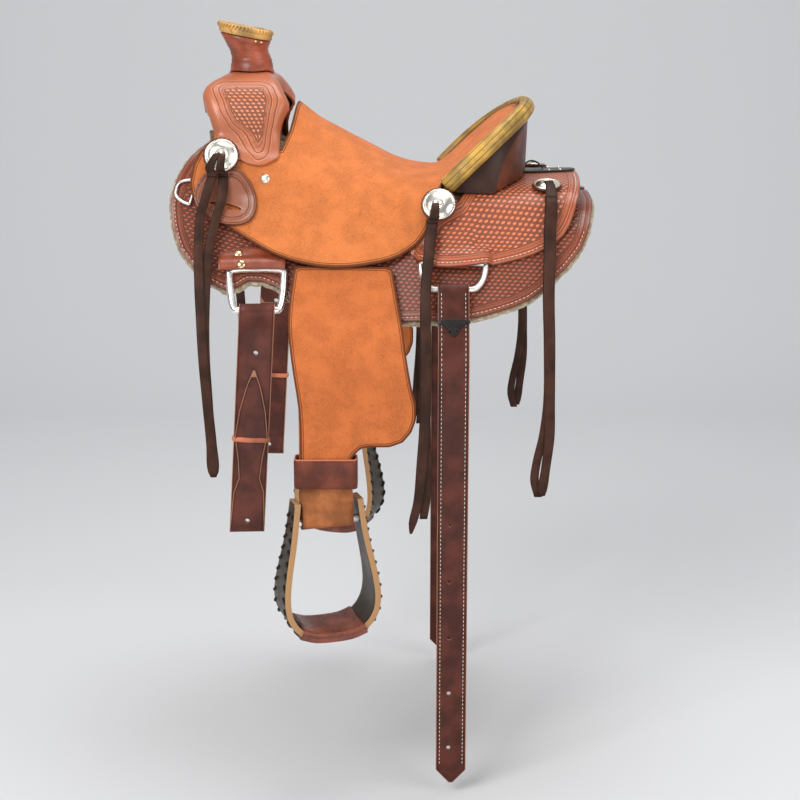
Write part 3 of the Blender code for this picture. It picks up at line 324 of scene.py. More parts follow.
def seat_under(x, girth):
    room = smooth((x + 0.25) / 0.08) * (1 - smooth((x + 0.05) / 0.06))
    low = 1 - raised(x, girth) / RAISE
    return SKIRT_OVER + 3 * GAP + JOCKEY + raised(x, girth) + FENDER_ROOM * room * low


SEAT_LIFT = ((-0.3, 0.0), (-0.165, 0.036), (-0.127, 0.023), (-0.088, 0.016), (-0.048, 0.007),
             (0.0, -0.005), (0.04, -0.007), (0.08, -0.006))


def cantle_face(x, y):
    """Height of the cantle's front face over a plan point."""
    height = CANTLE_CENTRE[1] + (x + CANTLE_DISH * y * y - CANTLE_CENTRE[0]) / math.tan(CANTLE_LEAN)
    return height - 0.05 * smooth((0.07 - x) / 0.05) - 0.05 * smooth((abs(y) - 0.146) / 0.02)


def seat_point(x, girth, lift, rise):
    """A point of the seat, lift over the form and rise over the cantle's face."""
    p = on_form(x, girth, lift)
    crown = math.exp(-((girth / 0.06) ** 2))
    p.z += through(SEAT_LIFT, min(max(x, -0.3), 0.08)) * crown
    melt = 0.016 - 0.013 * smooth((abs(girth) - 0.09) / 0.05)
    p.z = soft_max(p.z, cantle_face(x, p.y) + rise / math.sin(CANTLE_LEAN), melt)
    return p


def on_cantle(across, up, back):
    """A point of the cantle plate: across it, up it from its centre, and behind its face."""
    x = CANTLE_CENTRE[0] + up * math.sin(CANTLE_LEAN) - CANTLE_DISH * across * across
    z = CANTLE_CENTRE[1] + up * math.cos(CANTLE_LEAN)
    return Vector((x + back * math.cos(CANTLE_LEAN), across, z - back * math.sin(CANTLE_LEAN)))


def oval(angle, width, reach, power):
    """A place on an oval, the angle taken from its top."""
    s, c = math.sin(angle), math.cos(angle)
    return (
        width * math.copysign(abs(s) ** (2 / power), s),
        reach * math.copysign(abs(c) ** (2 / power), c),
    )


def on_rim(angle, inset):
    return oval(angle, CANTLE_HALF_WIDTH - inset, CANTLE_REACH - inset, CANTLE_POWER)


SIDES = (("near", -1), ("off", 1))


# Materials
SOCKETS = {"metallic": "Metallic", "coat": "Coat Weight", "coat_roughness": "Coat Roughness",
           "sheen": "Sheen Weight", "specular": "Specular IOR Level"}


class Nodes:
    """Writes one material's nodes."""

    def __init__(self, name, colour, roughness, metallic=0.0):
        self.mat = bpy.data.materials.new(name)
        self.mat.use_nodes = True
        self.tree = self.mat.node_tree
        self.shader = self.tree.nodes["Principled BSDF"]
        self.set(colour=colour, roughness=roughness)
        self.fix(metallic=metallic)

    def put(self, socket, value):
        if isinstance(value, bpy.types.NodeSocket):
            self.tree.links.new(value, socket)
        elif socket.type == "RGBA":
            socket.default_value = (*value, 1.0)
        else:
            socket.default_value = value

    def make(self, kind, settings, inputs):
        node = self.tree.nodes.new("ShaderNode" + kind)
        for key, value in settings.items():
            setattr(node, key, value)
        for key, value in inputs.items():
            self.put(node.inputs[key], value)
        return node

    def set(self, colour=None, roughness=None, normal=None):
        for key, value in (("Base Color", colour), ("Roughness", roughness), ("Normal", normal)):
            if value is not None:
                self.put(self.shader.inputs[key], value)

    def fix(self, **values):
        """Sets inputs that are the same all over, by the short names in SOCKETS."""
        for key, value in values.items():
            self.shader.inputs[SOCKETS[key]].default_value = value

    def calc(self, operation, *values):
        return self.make("Math", {"operation": operation}, dict(enumerate(values))).outputs[0]

    def attribute(self, name):
        made = self.make("Attribute", {"attribute_name": name}, {})
        return self.make("SeparateXYZ", {}, {0: made.outputs["Vector"]}).outputs

    def noise(self, scale, detail=4.0, vector=None):
        vector = vector or self.make("TexCoord", {}, {}).outputs["Object"]
        made = self.make("TexNoise", {}, {"Vector": vector, "Scale": scale, "Detail": detail})
        return made.outputs[0]

    def cells(self, scale):
        vector = self.make("TexCoord", {}, {}).outputs["Object"]
        return self.make("TexVoronoi", {}, {"Vector": vector, "Scale": scale}).outputs["Distance"]

    def ease(self, value, low, high, to_low=0.0, to_high=1.0):
        made = self.make("MapRange", {"interpolation_type": "SMOOTHSTEP"}, {
            "Value": value, "From Min": low, "From Max": high, "To Min": to_low, "To Max": to_high})
        return made.outputs[0]

    def mix(self, share, a, b):
        made = self.make("Mix", {"data_type": "RGBA"}, {0: share})
        self.put(made.inputs[6], a)
        self.put(made.inputs[7], b)
        return made.outputs[2]

    def bump(self, height, distance, normal=None):
        inputs = {"Height": height, "Distance": distance, "Strength": 1.0}
        if normal:
            inputs["Normal"] = normal
        return self.make("Bump", {}, inputs).outputs[0]

    def line(self, value, at, width):
        """One on a line where the value is at, falling to zero half a width away."""
        off = self.calc("ABSOLUTE", self.calc("SUBTRACT", value, at))
        return self.ease(off, width / 2, width * 0.15)


for operation in ("ADD", "SUBTRACT", "MULTIPLY", "DIVIDE", "MULTIPLY_ADD", "MAXIMUM", "ABSOLUTE", "POWER",
                  "SQRT", "FLOOR", "FRACT", "FLOORED_MODULO"):
    setattr(Nodes, operation.lower(), functools.partialmethod(Nodes.calc, operation))


def shades(colour, *factors):
    return [tuple(min(c * f, 1.0) for c in colour) for f in factors]


def basket(n, x, y, size, turn):
    """Height of a basket stamp: rows of short humps, each row set over by half a stamp."""
    c, s = math.cos(turn) / size, math.sin(turn) / size
    u = n.add(n.multiply(x, c), n.multiply(y, s))
    v = n.divide(n.subtract(n.multiply(y, c), n.multiply(x, s)), STAMP_HEIGHT)
    shift = n.multiply(n.floored_modulo(n.floor(v), 2.0), 0.5)
    a = n.subtract(n.fract(n.add(u, shift)), 0.5)
    b = n.subtract(n.fract(v), 0.5)
    tilt = n.multiply_add(a, 0.35, b)
    cubes = [n.power(n.absolute(n.multiply(part, reach)), 3.0) for part, reach in ((a, 2.1), (tilt, 2.5))]
    return n.ease(n.power(n.add(*cubes), 0.3333), 1.0, 0.35)


def grain(n, height=None, depth=0.00025):
    """Leather grain, over another relief if there is one."""
    pores = n.cells(900.0)
    creases = n.noise(160.0, 6.0)
    fine = n.multiply_add(creases, 0.6, n.multiply(pores, 0.4))
    return n.bump(fine, depth, height)


def tooled(name, colour, border=0.017, stamp=0.0075, turn=0.6, stitched=True, plain=False, panel=False):
    """Carved russet leather: a double border line, a row of half-moon stamps, and basket weave inside."""
    n = Nodes(name, colour, 0.4)
    x, y, _ = n.attribute("flat")
    along, edge, _ = n.attribute("rim")
    if panel:
        edge = n.add(n.attribute("panel")[0], border)
    inside = n.ease(edge, border, border + 0.0012)
    weave = 1.0 if plain else basket(n, x, y, stamp, turn)
    lines = n.maximum(n.line(edge, border - 0.0005, LINE), n.line(edge, border - BAND, 0.0018))
    period = n.subtract(n.fract(n.divide(along, MOON)), 0.5)
    across = n.divide(n.subtract(edge, border - 0.0012), MOON)
    reach = n.sqrt(n.add(n.multiply(period, period), n.multiply(across, across)))
    moons = n.maximum(n.line(reach, 0.44, 0.16), n.line(reach, 0.22, 0.14))
    in_band = n.multiply(n.ease(edge, border - 0.0085, border - 0.008),
                         n.ease(edge, border, border - 0.001))
    cuts = n.maximum(lines, n.multiply(moons, n.multiply(in_band, 0.7)))
    if stitched:
        cuts = n.maximum(cuts, n.multiply(n.line(edge, SEWN_IN, 0.0026), 0.8))
    field = n.multiply_add(inside, n.subtract(weave, 1.0), 1.0)
    relief = n.multiply(field, n.subtract(1.0, cuts))
    ridges = n.maximum(n.line(edge, border - 0.0022, LINE), n.line(edge, border - 0.0108, LINE))
    if panel:
        relief = n.multiply(relief, n.subtract(1.0, n.line(edge, border - 2 * BAND, 0.0018)))
        ridges = n.maximum(ridges, n.line(edge, border - 0.02, LINE))
    # deep and high are shaded and lit copies of the russet: high is painted highlight, deep darkens the cuts
    # (stain and painted shade) and the cut edges
    deep, mid, high = shades(colour, 0.3, 1.0, 2.1)
    patches = n.ease(n.noise(14.0, 5.0), 0.35, 0.7)
    body = n.mix(patches, mid, shades(colour, 1.25)[0])
    # Painted highlight on the raised tops of the basket stamps
    worn_and_highlight = 0.0 if plain else n.multiply(n.ease(weave, 0.55, 1.0), inside)
    body = n.mix(worn_and_highlight, body, high)
    # Darker in the cuts and low ground: partly antique stain settled there, partly painted shade
    body = n.mix(n.ease(relief, 0.6, 0.0, 0.0, 0.68), body, deep)
    # Painted highlight along the raised border ridges
    body = n.mix(n.multiply(ridges, 0.6), body, high)
    if not panel:
        body = n.mix(n.ease(edge, 0.0022, 0.0006, 0.0, 0.8), body, deep)
    relief = n.multiply_add(ridges, 0.5, relief)
    n.set(colour=body, roughness=n.ease(relief, 0.0, 1.0, 0.62, 0.36),
          normal=grain(n, n.bump(relief, 0.0011), 0.00012))
    n.fix(coat=0.3, coat_roughness=0.22)
    return n.mat


def suede(name, colour):
    """Rough-out leather: a short nap, brushed patches and a burnished dark edge."""
    n = Nodes(name, colour, 0.9)
    _, edge, _ = n.attribute("rim")
    light, dark, burnt_and_shade = shades(colour, 1.1, 0.86, 0.28)
    body = n.mix(n.ease(n.noise(34.0, 8.0), 0.36, 0.68), dark, light)
    body = n.mix(n.ease(n.noise(420.0, 3.0), 0.35, 0.7, 0.0, 0.35), body, shades(colour, 1.45)[0])
    body = n.mix(n.ease(n.noise(90.0, 8.0), 0.62, 0.75, 0.0, 0.4), body, shades(colour, 0.6)[0])
    body = n.mix(n.line(edge, 0.0052, 0.0014), body, burnt_and_shade)
    body = n.mix(n.ease(edge, 0.0042, 0.0024), body, burnt_and_shade)
    nap = n.multiply_add(n.noise(1400.0, 2.0), 0.5, n.multiply(n.noise(260.0, 6.0), 0.8))
    groove = n.multiply_add(n.line(edge, 0.0052, 0.0016), -1.0, 1.0)
    n.set(colour=body, normal=n.bump(nap, 0.0006, n.bump(groove, 0.0006)))
    n.fix(sheen=0.08, specular=0.2)
    return n.mat


def smooth_leather(name, colour, edge_colour, roughness=0.45, crease=0.0026, gloss=0.25, panel=0.0):
    """Strap leather creased along its paler cut edges; panel is half the width of a tooled strip."""
    n = Nodes(name, colour, roughness)
    across, down, _ = n.attribute("flat")
    _, edge, cut_side = n.attribute("rim")
    light, dark = shades(colour, 1.35, 0.68)
    body = n.mix(n.ease(n.noise(30.0, 6.0), 0.35, 0.68), dark, light)
    body = n.mix(n.ease(n.noise(220.0, 4.0), 0.6, 0.75, 0.0, 0.3), body, shades(colour, 1.9)[0])
    line = n.line(edge, crease, 0.001)
    if panel:
        inside = n.ease(down, 0.15, 0.154)
        sides = n.line(n.absolute(across), panel, 0.0016)
        streak = n.multiply(n.line(across, -0.004, 0.005), n.ease(n.noise(24.0, 3.0), 0.42, 0.55))
        line = n.maximum(line, n.multiply(inside, n.maximum(sides, streak)))
    body = n.mix(n.multiply(line, 0.6), body, shades(colour, 0.35)[0])
    body = n.mix(n.maximum(cut_side, n.ease(edge, 0.0014, 0.0007)), body, edge_colour)
    rough = n.multiply_add(n.noise(45.0, 5.0), 0.3, roughness - 0.15)
    relief = n.multiply_add(line, -1.0, 1.0)
    n.set(colour=body, roughness=rough, normal=grain(n, n.bump(relief, 0.0005), 0.00022))
    n.fix(specular=gloss)
    return n.mat


def fleece(name, colour):
    """Curly pale wool."""
    n = Nodes(name, colour, 1.0)
    light, dark = shades(colour, 1.25, 0.62)
    curl = n.cells(140.0)
    # Painted shade between the curls, lighter on their tops
    body = n.mix(n.ease(curl, 0.05, 0.75), light, dark)
    body = n.mix(n.ease(n.noise(18.0, 5.0), 0.4, 0.7, 0.0, 0.5), body, shades(colour, 0.78)[0])
    wisps = n.multiply_add(n.noise(700.0, 6.0), 0.6, n.multiply(curl, -1.0))
    n.set(colour=body, normal=n.bump(wisps, 0.0022))
    n.fix(sheen=0.5)
    return n.mat


def rawhide(name, colour, ribs=0.0):
    """Smoked rawhide, hard and a little glossy; ribs is the pitch of a lace along it."""
    n = Nodes(name, colour, 0.35)
    light, dark, burnt_and_shade = shades(colour, 1.45, 0.6, 0.3)
    body = n.mix(n.ease(n.noise(26.0, 6.0), 0.35, 0.68), dark, light)
    body = n.mix(n.ease(n.noise(120.0, 5.0), 0.58, 0.72, 0.0, 0.5), body, burnt_and_shade)
    under = None
    if ribs:
        along, edge, _ = n.attribute("rim")
        slant = n.multiply_add(along, 0.02, edge)
        wave = n.absolute(n.subtract(n.fract(n.divide(slant, ribs)), 0.5))
        rib = n.ease(wave, 0.48, 0.3)
        # Painted shade in the grooves between the lace's strands
        body = n.mix(n.ease(rib, 0.5, 0.0, 0.0, 0.75), body, burnt_and_shade)
        under = n.bump(rib, 0.0008)
    n.set(colour=body, roughness=n.ease(n.noise(60.0, 5.0), 0.3, 0.7, 0.38, 0.6),
          normal=grain(n, under, 0.0003))
    n.fix(coat=0.08, coat_roughness=0.2)
    return n.mat


def metal(name, colour, roughness, tarnish):
    """Polished metal with tarnished patches."""
    n = Nodes(name, colour, roughness, 1.0)
    worn_and_highlight = n.noise(38.0, 5.0)
    body = n.mix(n.ease(worn_and_highlight, 0.5, 0.75, 0.0, tarnish), colour, shades(colour, 0.5)[0])
    n.set(colour=body, roughness=n.ease(worn_and_highlight, 0.35, 0.7, roughness * 0.7, roughness * 1.8),
          normal=n.bump(n.noise(160.0, 3.0), 0.00003))
    return n.mat


def tree_cover(name, colour):
    """Hide over the wood of the tree."""
    n = Nodes(name, colour, 0.55)
    light, dark = shades(colour, 1.15, 0.72)
    fibres = n.make("TexWave", {"bands_direction": "Y"}, {
        "Vector": n.make("TexCoord", {}, {}).outputs["Object"], "Scale": 30.0, "Distortion": 9.0,
        "Detail": 3.0})
    body = n.mix(fibres.outputs[0], light, dark)
    n.set(colour=n.mix(n.ease(n.noise(40.0), 0.4, 0.7, 0.0, 0.4), body, dark),
          normal=n.bump(fibres.outputs[0], 0.0003))
    return n.mat


RUSSET = tooled("tooled_russet", (0.25, 0.055, 0.021), stamp=0.0086, turn=0.1)
JOCKEY_RUSSET = tooled("tooled_jockey", (0.44, 0.112, 0.045), border=0.018, stamp=0.0086, turn=0.1)
# The fork's russet is set lighter than the jockeys' to stand for the gloss on the fork: painted highlight
COVER_RUSSET = tooled("tooled_fork", (0.47, 0.14, 0.06), border=0.015, stamp=0.0088, turn=0.0,
                      stitched=False, panel=True)
PLAIN_RUSSET = smooth_leather("plain_russet", (0.34, 0.075, 0.032), (0.2, 0.05, 0.025), 0.34, gloss=0.5)
SEAT_SUEDE = suede("rough_out_seat", (0.64, 0.19, 0.054))
FENDER_SUEDE = suede("rough_out_fender", (0.56, 0.152, 0.042))
SUEDE_STRAP = smooth_leather("tan_strap", (0.42, 0.14, 0.045), (0.3, 0.12, 0.05), 0.7)
DARK = smooth_leather("dark_brown", (0.13, 0.038, 0.018), (0.05, 0.02, 0.012), 0.4)
STRAP = smooth_leather("burgundy_strap", (0.11, 0.028, 0.018), (0.42, 0.2, 0.11), 0.36)
FLANK_STRAP = smooth_leather("flank_strap", (0.085, 0.02, 0.012), (0.34, 0.14, 0.07), 0.4, panel=0.0125)
HOBBLE_LEATHER = smooth_leather("hobble_leather", (0.15, 0.036, 0.019), (0.1, 0.03, 0.02), 0.36)
TREAD_LEATHER = smooth_leather("tread_leather", (0.21, 0.054, 0.03), (0.1, 0.03, 0.02), 0.28, gloss=0.5)
LACE = smooth_leather("string_lace", (0.05, 0.02, 0.012), (0.075, 0.038, 0.026), 0.5, crease=0.0012,
                      gloss=0.15)
BLACK = smooth_leather("black_lace", (0.012, 0.009, 0.007), (0.012, 0.009, 0.007), 0.34, gloss=0.4)
BRONZE = smooth_leather("dark_olive", (0.04, 0.026, 0.012), (0.46, 0.25, 0.11), 0.4, crease=0.0085)
SALMON = smooth_leather("salmon_lace", (0.66, 0.21, 0.11), (0.6, 0.2, 0.11), 0.5)
KEEPER_LEATHER = tooled("brown_keeper", (0.3, 0.09, 0.04), border=0.012, stitched=False, plain=True)
FLEECE = fleece("woolskin", (0.62, 0.48, 0.3))
RAWHIDE = rawhide("smoked_rawhide", (0.58, 0.33, 0.095))
LACED_RAWHIDE = rawhide("laced_rawhide", (0.5, 0.29, 0.05), ribs=0.0085)
STEEL = metal("bright_steel", (0.96, 0.94, 0.9), 0.34, 0.1)
SILVER = metal("worn_silver", (0.86, 0.81, 0.7), 0.3, 0.25)
BRASS = metal("pale_brass", (0.88, 0.62, 0.36), 0.25, 0.3)
THREAD = Nodes("white_thread", (0.86, 0.8, 0.7), 0.7).mat
TREE = tree_cover("tree_rawhide", (0.3, 0.19, 0.1))


# Building
def dress(obj, body, mat, replaced=()):
    """Puts a finished piece on its body, with its material."""
    obj.data.materials.clear()
    obj.data.materials.append(mat)
    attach(obj, body)
    if replaced:
        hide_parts(*replaced)
    return obj


def link(name, data):
    """A new object in the scene."""
    obj = bpy.data.objects.new(name, data)
    bpy.context.scene.collection.objects.link(obj)
    return obj


def arc_lengths(points, closed=False):
    run = [0.0]
    pairs = zip(points, points[1:] + (points[:1] if closed else []))
    for a, b in pairs:
        run.append(run[-1] + math.dist(a, b))
    return run


def to_outline(flat, outline):
    """For each flat point, the length run along the outline to its nearest place, and how far off that is."""
    a = np.array(outline)
    b = np.roll(a, -1, axis=0)
    run = np.array(arc_lengths([tuple(p) for p in outline], closed=True))[:-1]
    step = b - a
    size = np.maximum((step**2).sum(1), 1e-12)
    along, edge = [], []
    for p in flat:
        t = np.clip(((p - a) * step).sum(1) / size, 0, 1)
        off = np.hypot(*(a + step * t[:, None] - p).T)
        k = int(off.argmin())
        along.append(run[k] + t[k] * math.sqrt(size[k]))
        edge.append(off[k])
    return along, edge


def cut_sheet(name, outline, place, cell, round_off):
    """A leather cut flat, with two faces and rounded edges, laid in space by place(a, b, face)."""
    bm = bmesh.new()
    bm.faces.new([bm.verts.new((a, b, 0)) for a, b in outline])
    size = np.array(outline)
    for axis, normal in ((0, (1, 0, 0)), (1, (0, 1, 0))):
        low, high = size[:, axis].min(), size[:, axis].max()
        count = max(1, round((high - low) / cell))
        for k in range(1, count):
            at = Vector(normal) * (low + (high - low) * k / count)
            everything = bm.verts[:] + bm.edges[:] + bm.faces[:]
            bmesh.ops.bisect_plane(bm, geom=everything, dist=1e-6, plane_co=at, plane_no=normal)
    bmesh.ops.remove_doubles(bm, verts=bm.verts, dist=0.0005)
    bmesh.ops.triangulate(bm, faces=[f for f in bm.faces if len(f.verts) > 4])
    grown = bmesh.ops.extrude_face_region(bm, geom=bm.faces[:])
    for vert in grown["geom"]:
        if isinstance(vert, bmesh.types.BMVert):
            vert.co.z = 1
    flat = [(v.co.x, v.co.y) for v in bm.verts]
    along, edge = to_outline(flat, outline)
    bm.normal_update()
    walls = [abs(f.normal.z) < 0.5 for f in bm.faces]
    for vert in bm.verts:
        vert.co = place(vert.co.x, vert.co.y, round(vert.co.z))
    bmesh.ops.recalc_face_normals(bm, faces=bm.faces)
    mesh = bpy.data.meshes.new(name)
    bm.to_mesh(mesh)
    bm.free()
    tag(mesh, [(a, b, 0.0) for a, b in flat], list(zip(along, edge)), walls)
    mesh.shade_smooth()
    obj = link(name, mesh)
    bevel = obj.modifiers.new("edge", "BEVEL")
    bevel.width = round_off
    bevel.segments = 2
    bevel.limit_method = "ANGLE"
    bevel.angle_limit = math.radians(50)
    return obj


def leather(name, outline, place, body, mat, nodes=(), cell=CELL, round_off=ROUND_OFF):
    """A cut sheet dressed in its material."""
    return dress(cut_sheet(name, outline, place, cell, round_off), body, mat, nodes)


def tag(mesh, flat, rim, walls):
    """Keeps the flat pattern on the mesh for its material: flat, and rim with the cut sides marked."""
    flat_data = mesh.attributes.new("flat", "FLOAT_VECTOR", "POINT").data
    flat_data.foreach_set("vector", np.array(flat, np.float32).ravel())
    rim_data = mesh.attributes.new("rim", "FLOAT_VECTOR", "CORNER").data
    values = np.zeros((len(mesh.loops), 3), np.float32)
    for polygon, wall in zip(mesh.polygons, walls):
        for k in polygon.loop_indices:
            vertex = mesh.loops[k].vertex_index
            values[k] = (*rim[vertex], 1.0 if wall else 0.0)
    rim_data.foreach_set("vector", values.ravel())


def fair(*runs, step=0.016):
    """A closed outline of smooth runs that meet at corners; each run is a list of points."""
    points = []
    for run in runs:
        for i in range(len(run) - 1):
            a = run[max(i - 1, 0)]
            b, c = run[i], run[i + 1]
            d = run[min(i + 2, len(run) - 1)]
            count = max(1, round(math.dist(b, c) / step)) if len(run) > 2 else 1
            for k in range(count):
                t = k / count
                points.append(tuple(
                    0.5 * (2 * b[j] + (c[j] - a[j]) * t
                           + (2 * a[j] - 5 * b[j] + 4 * c[j] - d[j]) * t * t
                           + (3 * b[j] - a[j] - 3 * c[j] + d[j]) * t**3)
                    for j in (0, 1)
                ))
    return points


def mm(*points):
    """Points given in millimetres."""
    return [tuple(value / 1000 for value in point) for point in points]


def steps(count):
    """Angles all the way round."""
    return [2 * math.pi * k / count for k in range(count)]


def band(width, thick, count, powers=(0.45, 0.7)):
    """Places (across, out) round the section of a flat lace with rounded sides."""
    made = []
    for a in steps(count):
        c, s = math.cos(a), math.sin(a)
        made.append((math.copysign(abs(c) ** powers[0], c) * width / 2,
                     math.copysign(abs(s) ** powers[1], s) * thick / 2))
    return made


def arc(centre, radius, start, end, count):
    """Points of an arc in a plane, angles in degrees."""
    made = []
    for k in range(count + 1):
        a = math.radians(start + (end - start) * k / count)
        made.append((centre[0] + radius * math.cos(a), centre[1] + radius * math.sin(a)))
    return made


def frame_at(at, along, out):
    """A frame at a point, X along and Z out."""
    made = Matrix((along, out.cross(along), out)).transposed().to_4x4()
    made.translation = at
    return made


def surface_frame(x, girth, place):
    """A frame on a leather: Z out of it, X along its length; place gives a point from x and girth."""
    d = 0.004
    along = (place(x + d, girth) - place(x - d, girth)).normalized()
    down = (place(x, girth + d) - place(x, girth - d)).normalized()
    return frame_at(place(x, girth), along, along.cross(down).normalized())


def grow(outline, distance):
    """The outline moved outwards by a distance, square to itself."""
    count = len(outline)
    area = sum(outline[i - 1][0] * outline[i][1] - outline[i][0] * outline[i - 1][1] for i in range(count))
    turn = math.copysign(1, area)
    moved = []
    for i, (x, y) in enumerate(outline):
        ax, ay = outline[i - 1]
        bx, by = outline[(i + 1) % count]
        run = Vector((bx - ax, by - ay)).normalized()
        moved.append((x + turn * run.y * distance, y - turn * run.x * distance))
    return moved


def even(points, pitch, closed=False):
    """The same line with its points evenly spaced."""
    line = points + points[:1] if closed else points
    run = arc_lengths(line)
    count = max(2, round(run[-1] / pitch))
    made, k = [], 0
    for i in range(count + (0 if closed else 1)):
        s = min(run[-1] * i / count, run[-1] - 1e-9)
        while run[k + 1] < s:
            k += 1
        t = (s - run[k]) / (run[k + 1] - run[k])
        made.append(tuple(p + (q - p) * t for p, q in zip(line[k], line[k + 1])))
    return made


def spaced(low, high, pitch):
    """Evenly spaced numbers from low to high."""
    return [s for s, _ in even([(low, 0.0), (high, 0.0)], pitch)]


def mirrored(half):
    """A closed outline from its half on the positive side."""
    return half + [(-a, b) for a, b in half[::-1]]


def rounded(points, closed=False, times=2):
    """The line with its corners cut back again and again until they are round."""
    points = [tuple(p) for p in points]
    for _ in range(times):
        line = points + points[:1] if closed else points
        made = [] if closed else [points[0]]
        for a, b in zip(line, line[1:]):
            made += [tuple(p * share + q * (1 - share) for p, q in zip(a, b)) for share in (0.75, 0.25)]
        points = made if closed else made + [points[-1]]
    return points


def cords(name, runs, radius, mat, body, closed=False, ends=0.35):
    """Threads, laces or wires, all of one piece; each run is a list of points."""
    curve = bpy.data.curves.new(name, "CURVE")
    curve.dimensions = "3D"
    curve.bevel_depth = radius
    curve.bevel_resolution = 2 if radius < 0.003 else 6
    curve.use_fill_caps = True
    for run in runs:
        spline = curve.splines.new("POLY")
        spline.points.add(len(run) - 1)
        for k, (point, co) in enumerate(zip(spline.points, run)):
            point.co = (*co, 1.0)
            point.radius = ends if not closed and k in (0, len(run) - 1) else 1.0
        spline.use_cyclic_u = closed
        spline.use_smooth = True
    return dress(link(name, curve), body, mat)


def stitches(name, line, place, body, keep=None):
    """Sewn thread along a flat line; place lays a flat point on the leather's face."""
    run = even(line, STITCH_PITCH / 2)
    share = STITCH / (STITCH_PITCH / 2)
    runs = []
    for a, b in zip(run[::2], run[1::2]):
        if keep and not keep(*a):
            continue
        end = tuple(p + (q - p) * share for p, q in zip(a, b))
        middle = tuple((p + q) / 2 for p, q in zip(a, end))
        runs.append([place(*a, -0.0002), place(*middle, 0.0005), place(*end, -0.0002)])
    return cords(name, runs, STITCH_RADIUS, THREAD, body)


def skin(name, rows, closed_along=False):
    """A closed body between rings of points, with along and around kept for its material."""
    bm = bmesh.new()
    made = [[bm.verts.new(p) for p in row] for row in rows]
    count = len(rows[0])
    pairs = list(zip(made, made[1:])) + ([(made[-1], made[0])] if closed_along else [])
    for low, high in pairs:
        for i in range(count):
            j = (i + 1) % count
            bm.faces.new((low[i], low[j], high[j], high[i]))
    if not closed_along:
        bm.faces.new(made[0])
        bm.faces.new(made[-1])
    bmesh.ops.recalc_face_normals(bm, faces=bm.faces)
    mesh = bpy.data.meshes.new(name)
    bm.to_mesh(mesh)
    bm.free()
    middles = [tuple(sum(c) / count for c in zip(*row)) for row in rows]
    along = arc_lengths(middles)
    around = [arc_lengths([tuple(p) for p in row]) for row in rows]
    rim = [(along[r], around[r][i]) for r in range(len(rows)) for i in range(count)]
    tag(mesh, [(a, b, 0.0) for a, b in rim], rim, [False] * len(mesh.polygons))
    mesh.shade_smooth()
    return link(name, mesh)


def over_form(under, thick, side):
    """Lays a flat pattern over the form on one side; under gives the lift of its lower face."""

    def place(x, g, face):
        return on_form(x, side * max(abs(g), 1e-4), under(x, g) + thick * face)

    return place


def turned(name, profile, at, count, shape=lambda r, z, a: (r, z)):
    """A body turned round a frame's Z from (radius, height) places, which shape may change by the angle."""
    rows = []
    for r, z in profile:
        row = []
        for a in steps(count):
            radius, high = shape(r, z, a)
            row.append(at @ Vector((radius * math.cos(a), radius * math.sin(a), high)))
        rows.append(row)
    return skin(name, rows)


def screw(name, at, radius, mat):
    """A low domed head on a frame."""
    profile = [(0.0005, 0.0022), (radius * 0.45, 0.002), (radius * 0.8, 0.0012), (radius, 0.0),
               (radius, -0.002)]
    dress(turned(name, profile, at, 24), "saddle", mat)


def on_face(place, thick):
    """Lays a flat point a given height over a leather's outer face."""
    return lambda a, b, high: place(a, b, 1 + high / thick)


# Skirts, linings and jockeys
SKIRT_EDGE = fair(
    mm((299, 14), (300, 69), (296, 122), (283, 181), (264, 214), (233, 248), (195, 279), (150, 295),
       (105, 304), (60, 305), (0, 306), (-91, 311), (-148, 315)),
    mm((-148, 315), (-160, 301), (-172, 289), (-190, 280), (-210, 277), (-230, 281), (-247, 296)),
    mm((-247, 296), (-265, 304), (-290, 296), (-311, 280), (-334, 256), (-347, 219), (-351, 187),
       (-346, 153), (-332, 117), (-311, 82), (-284, 52), (-262, 32)),
    mm((-262, 32), (-150, 20), (299, 14)),
    step=0.022,
)
JOCKEY_EDGE = fair(
    mm((281, 4), (281, 63), (276, 120), (265, 155), (247, 183), (219, 202), (181, 216), (121, 226),
       (54, 227), (25, 213)),
    mm((25, 213), (12, 193), (20, 176), (44, 160), (60, 148)),
    mm((60, 148), (72, 144), (90, 138), (104, 118), (114, 86), (120, 45), (122, 4)),
    mm((122, 4), (281, 4)),
    step=0.022,
)


def skirts():
    """The carved skirts and the woolskins under them."""
    sewn = grow(SKIRT_EDGE, -SEWN_IN)
    for name, side in SIDES:
        place = over_form(lambda x, g: SKIRT_UNDER, SKIRT, side)
        leather(f"carved_skirt_{name}", SKIRT_EDGE, place, "saddle", RUSSET,
                [f"skirt_{name}"])
        stitches(f"skirt_thread_{name}", sewn + sewn[:1], on_face(place, SKIRT), "saddle",
                 keep=lambda x, g: g > 0.17)

        def wool(x, g, face):
            curls = noise.noise(Vector((x, side * g, face)) * 95)
            puff = curls + 0.5 * noise.noise(Vector((x, g, side)) * 230)
            lift = LINING - 0.0006 - 0.0008 * abs(puff) if face else -0.0015 - 0.0035 * puff
            return on_form(x + 0.0015 * puff, side * max(abs(g) + 0.0015 * puff, 1e-4), lift)

        leather(f"fleece_lining_{name}", grow(SKIRT_EDGE, WOOL_PROUD), wool, "saddle", FLEECE,
                [f"skirt_lining_{name}"], 0.0065, 0.002)


def jockeys():
    """The carved rear jockeys."""
    sewn = grow(JOCKEY_EDGE, -0.006)
    for name, side in SIDES:
        place = over_form(jockey_under, JOCKEY, side)
        leather(f"carved_jockey_{name}", JOCKEY_EDGE, place, "saddle", JOCKEY_RUSSET,
                [f"rear_jockey_{name}"], 0.0075)
        stitches(f"jockey_thread_{name}", sewn, on_face(place, JOCKEY), "saddle",
                 keep=lambda x, g: g > 0.19 or (x > 0.268 and g > 0.03))


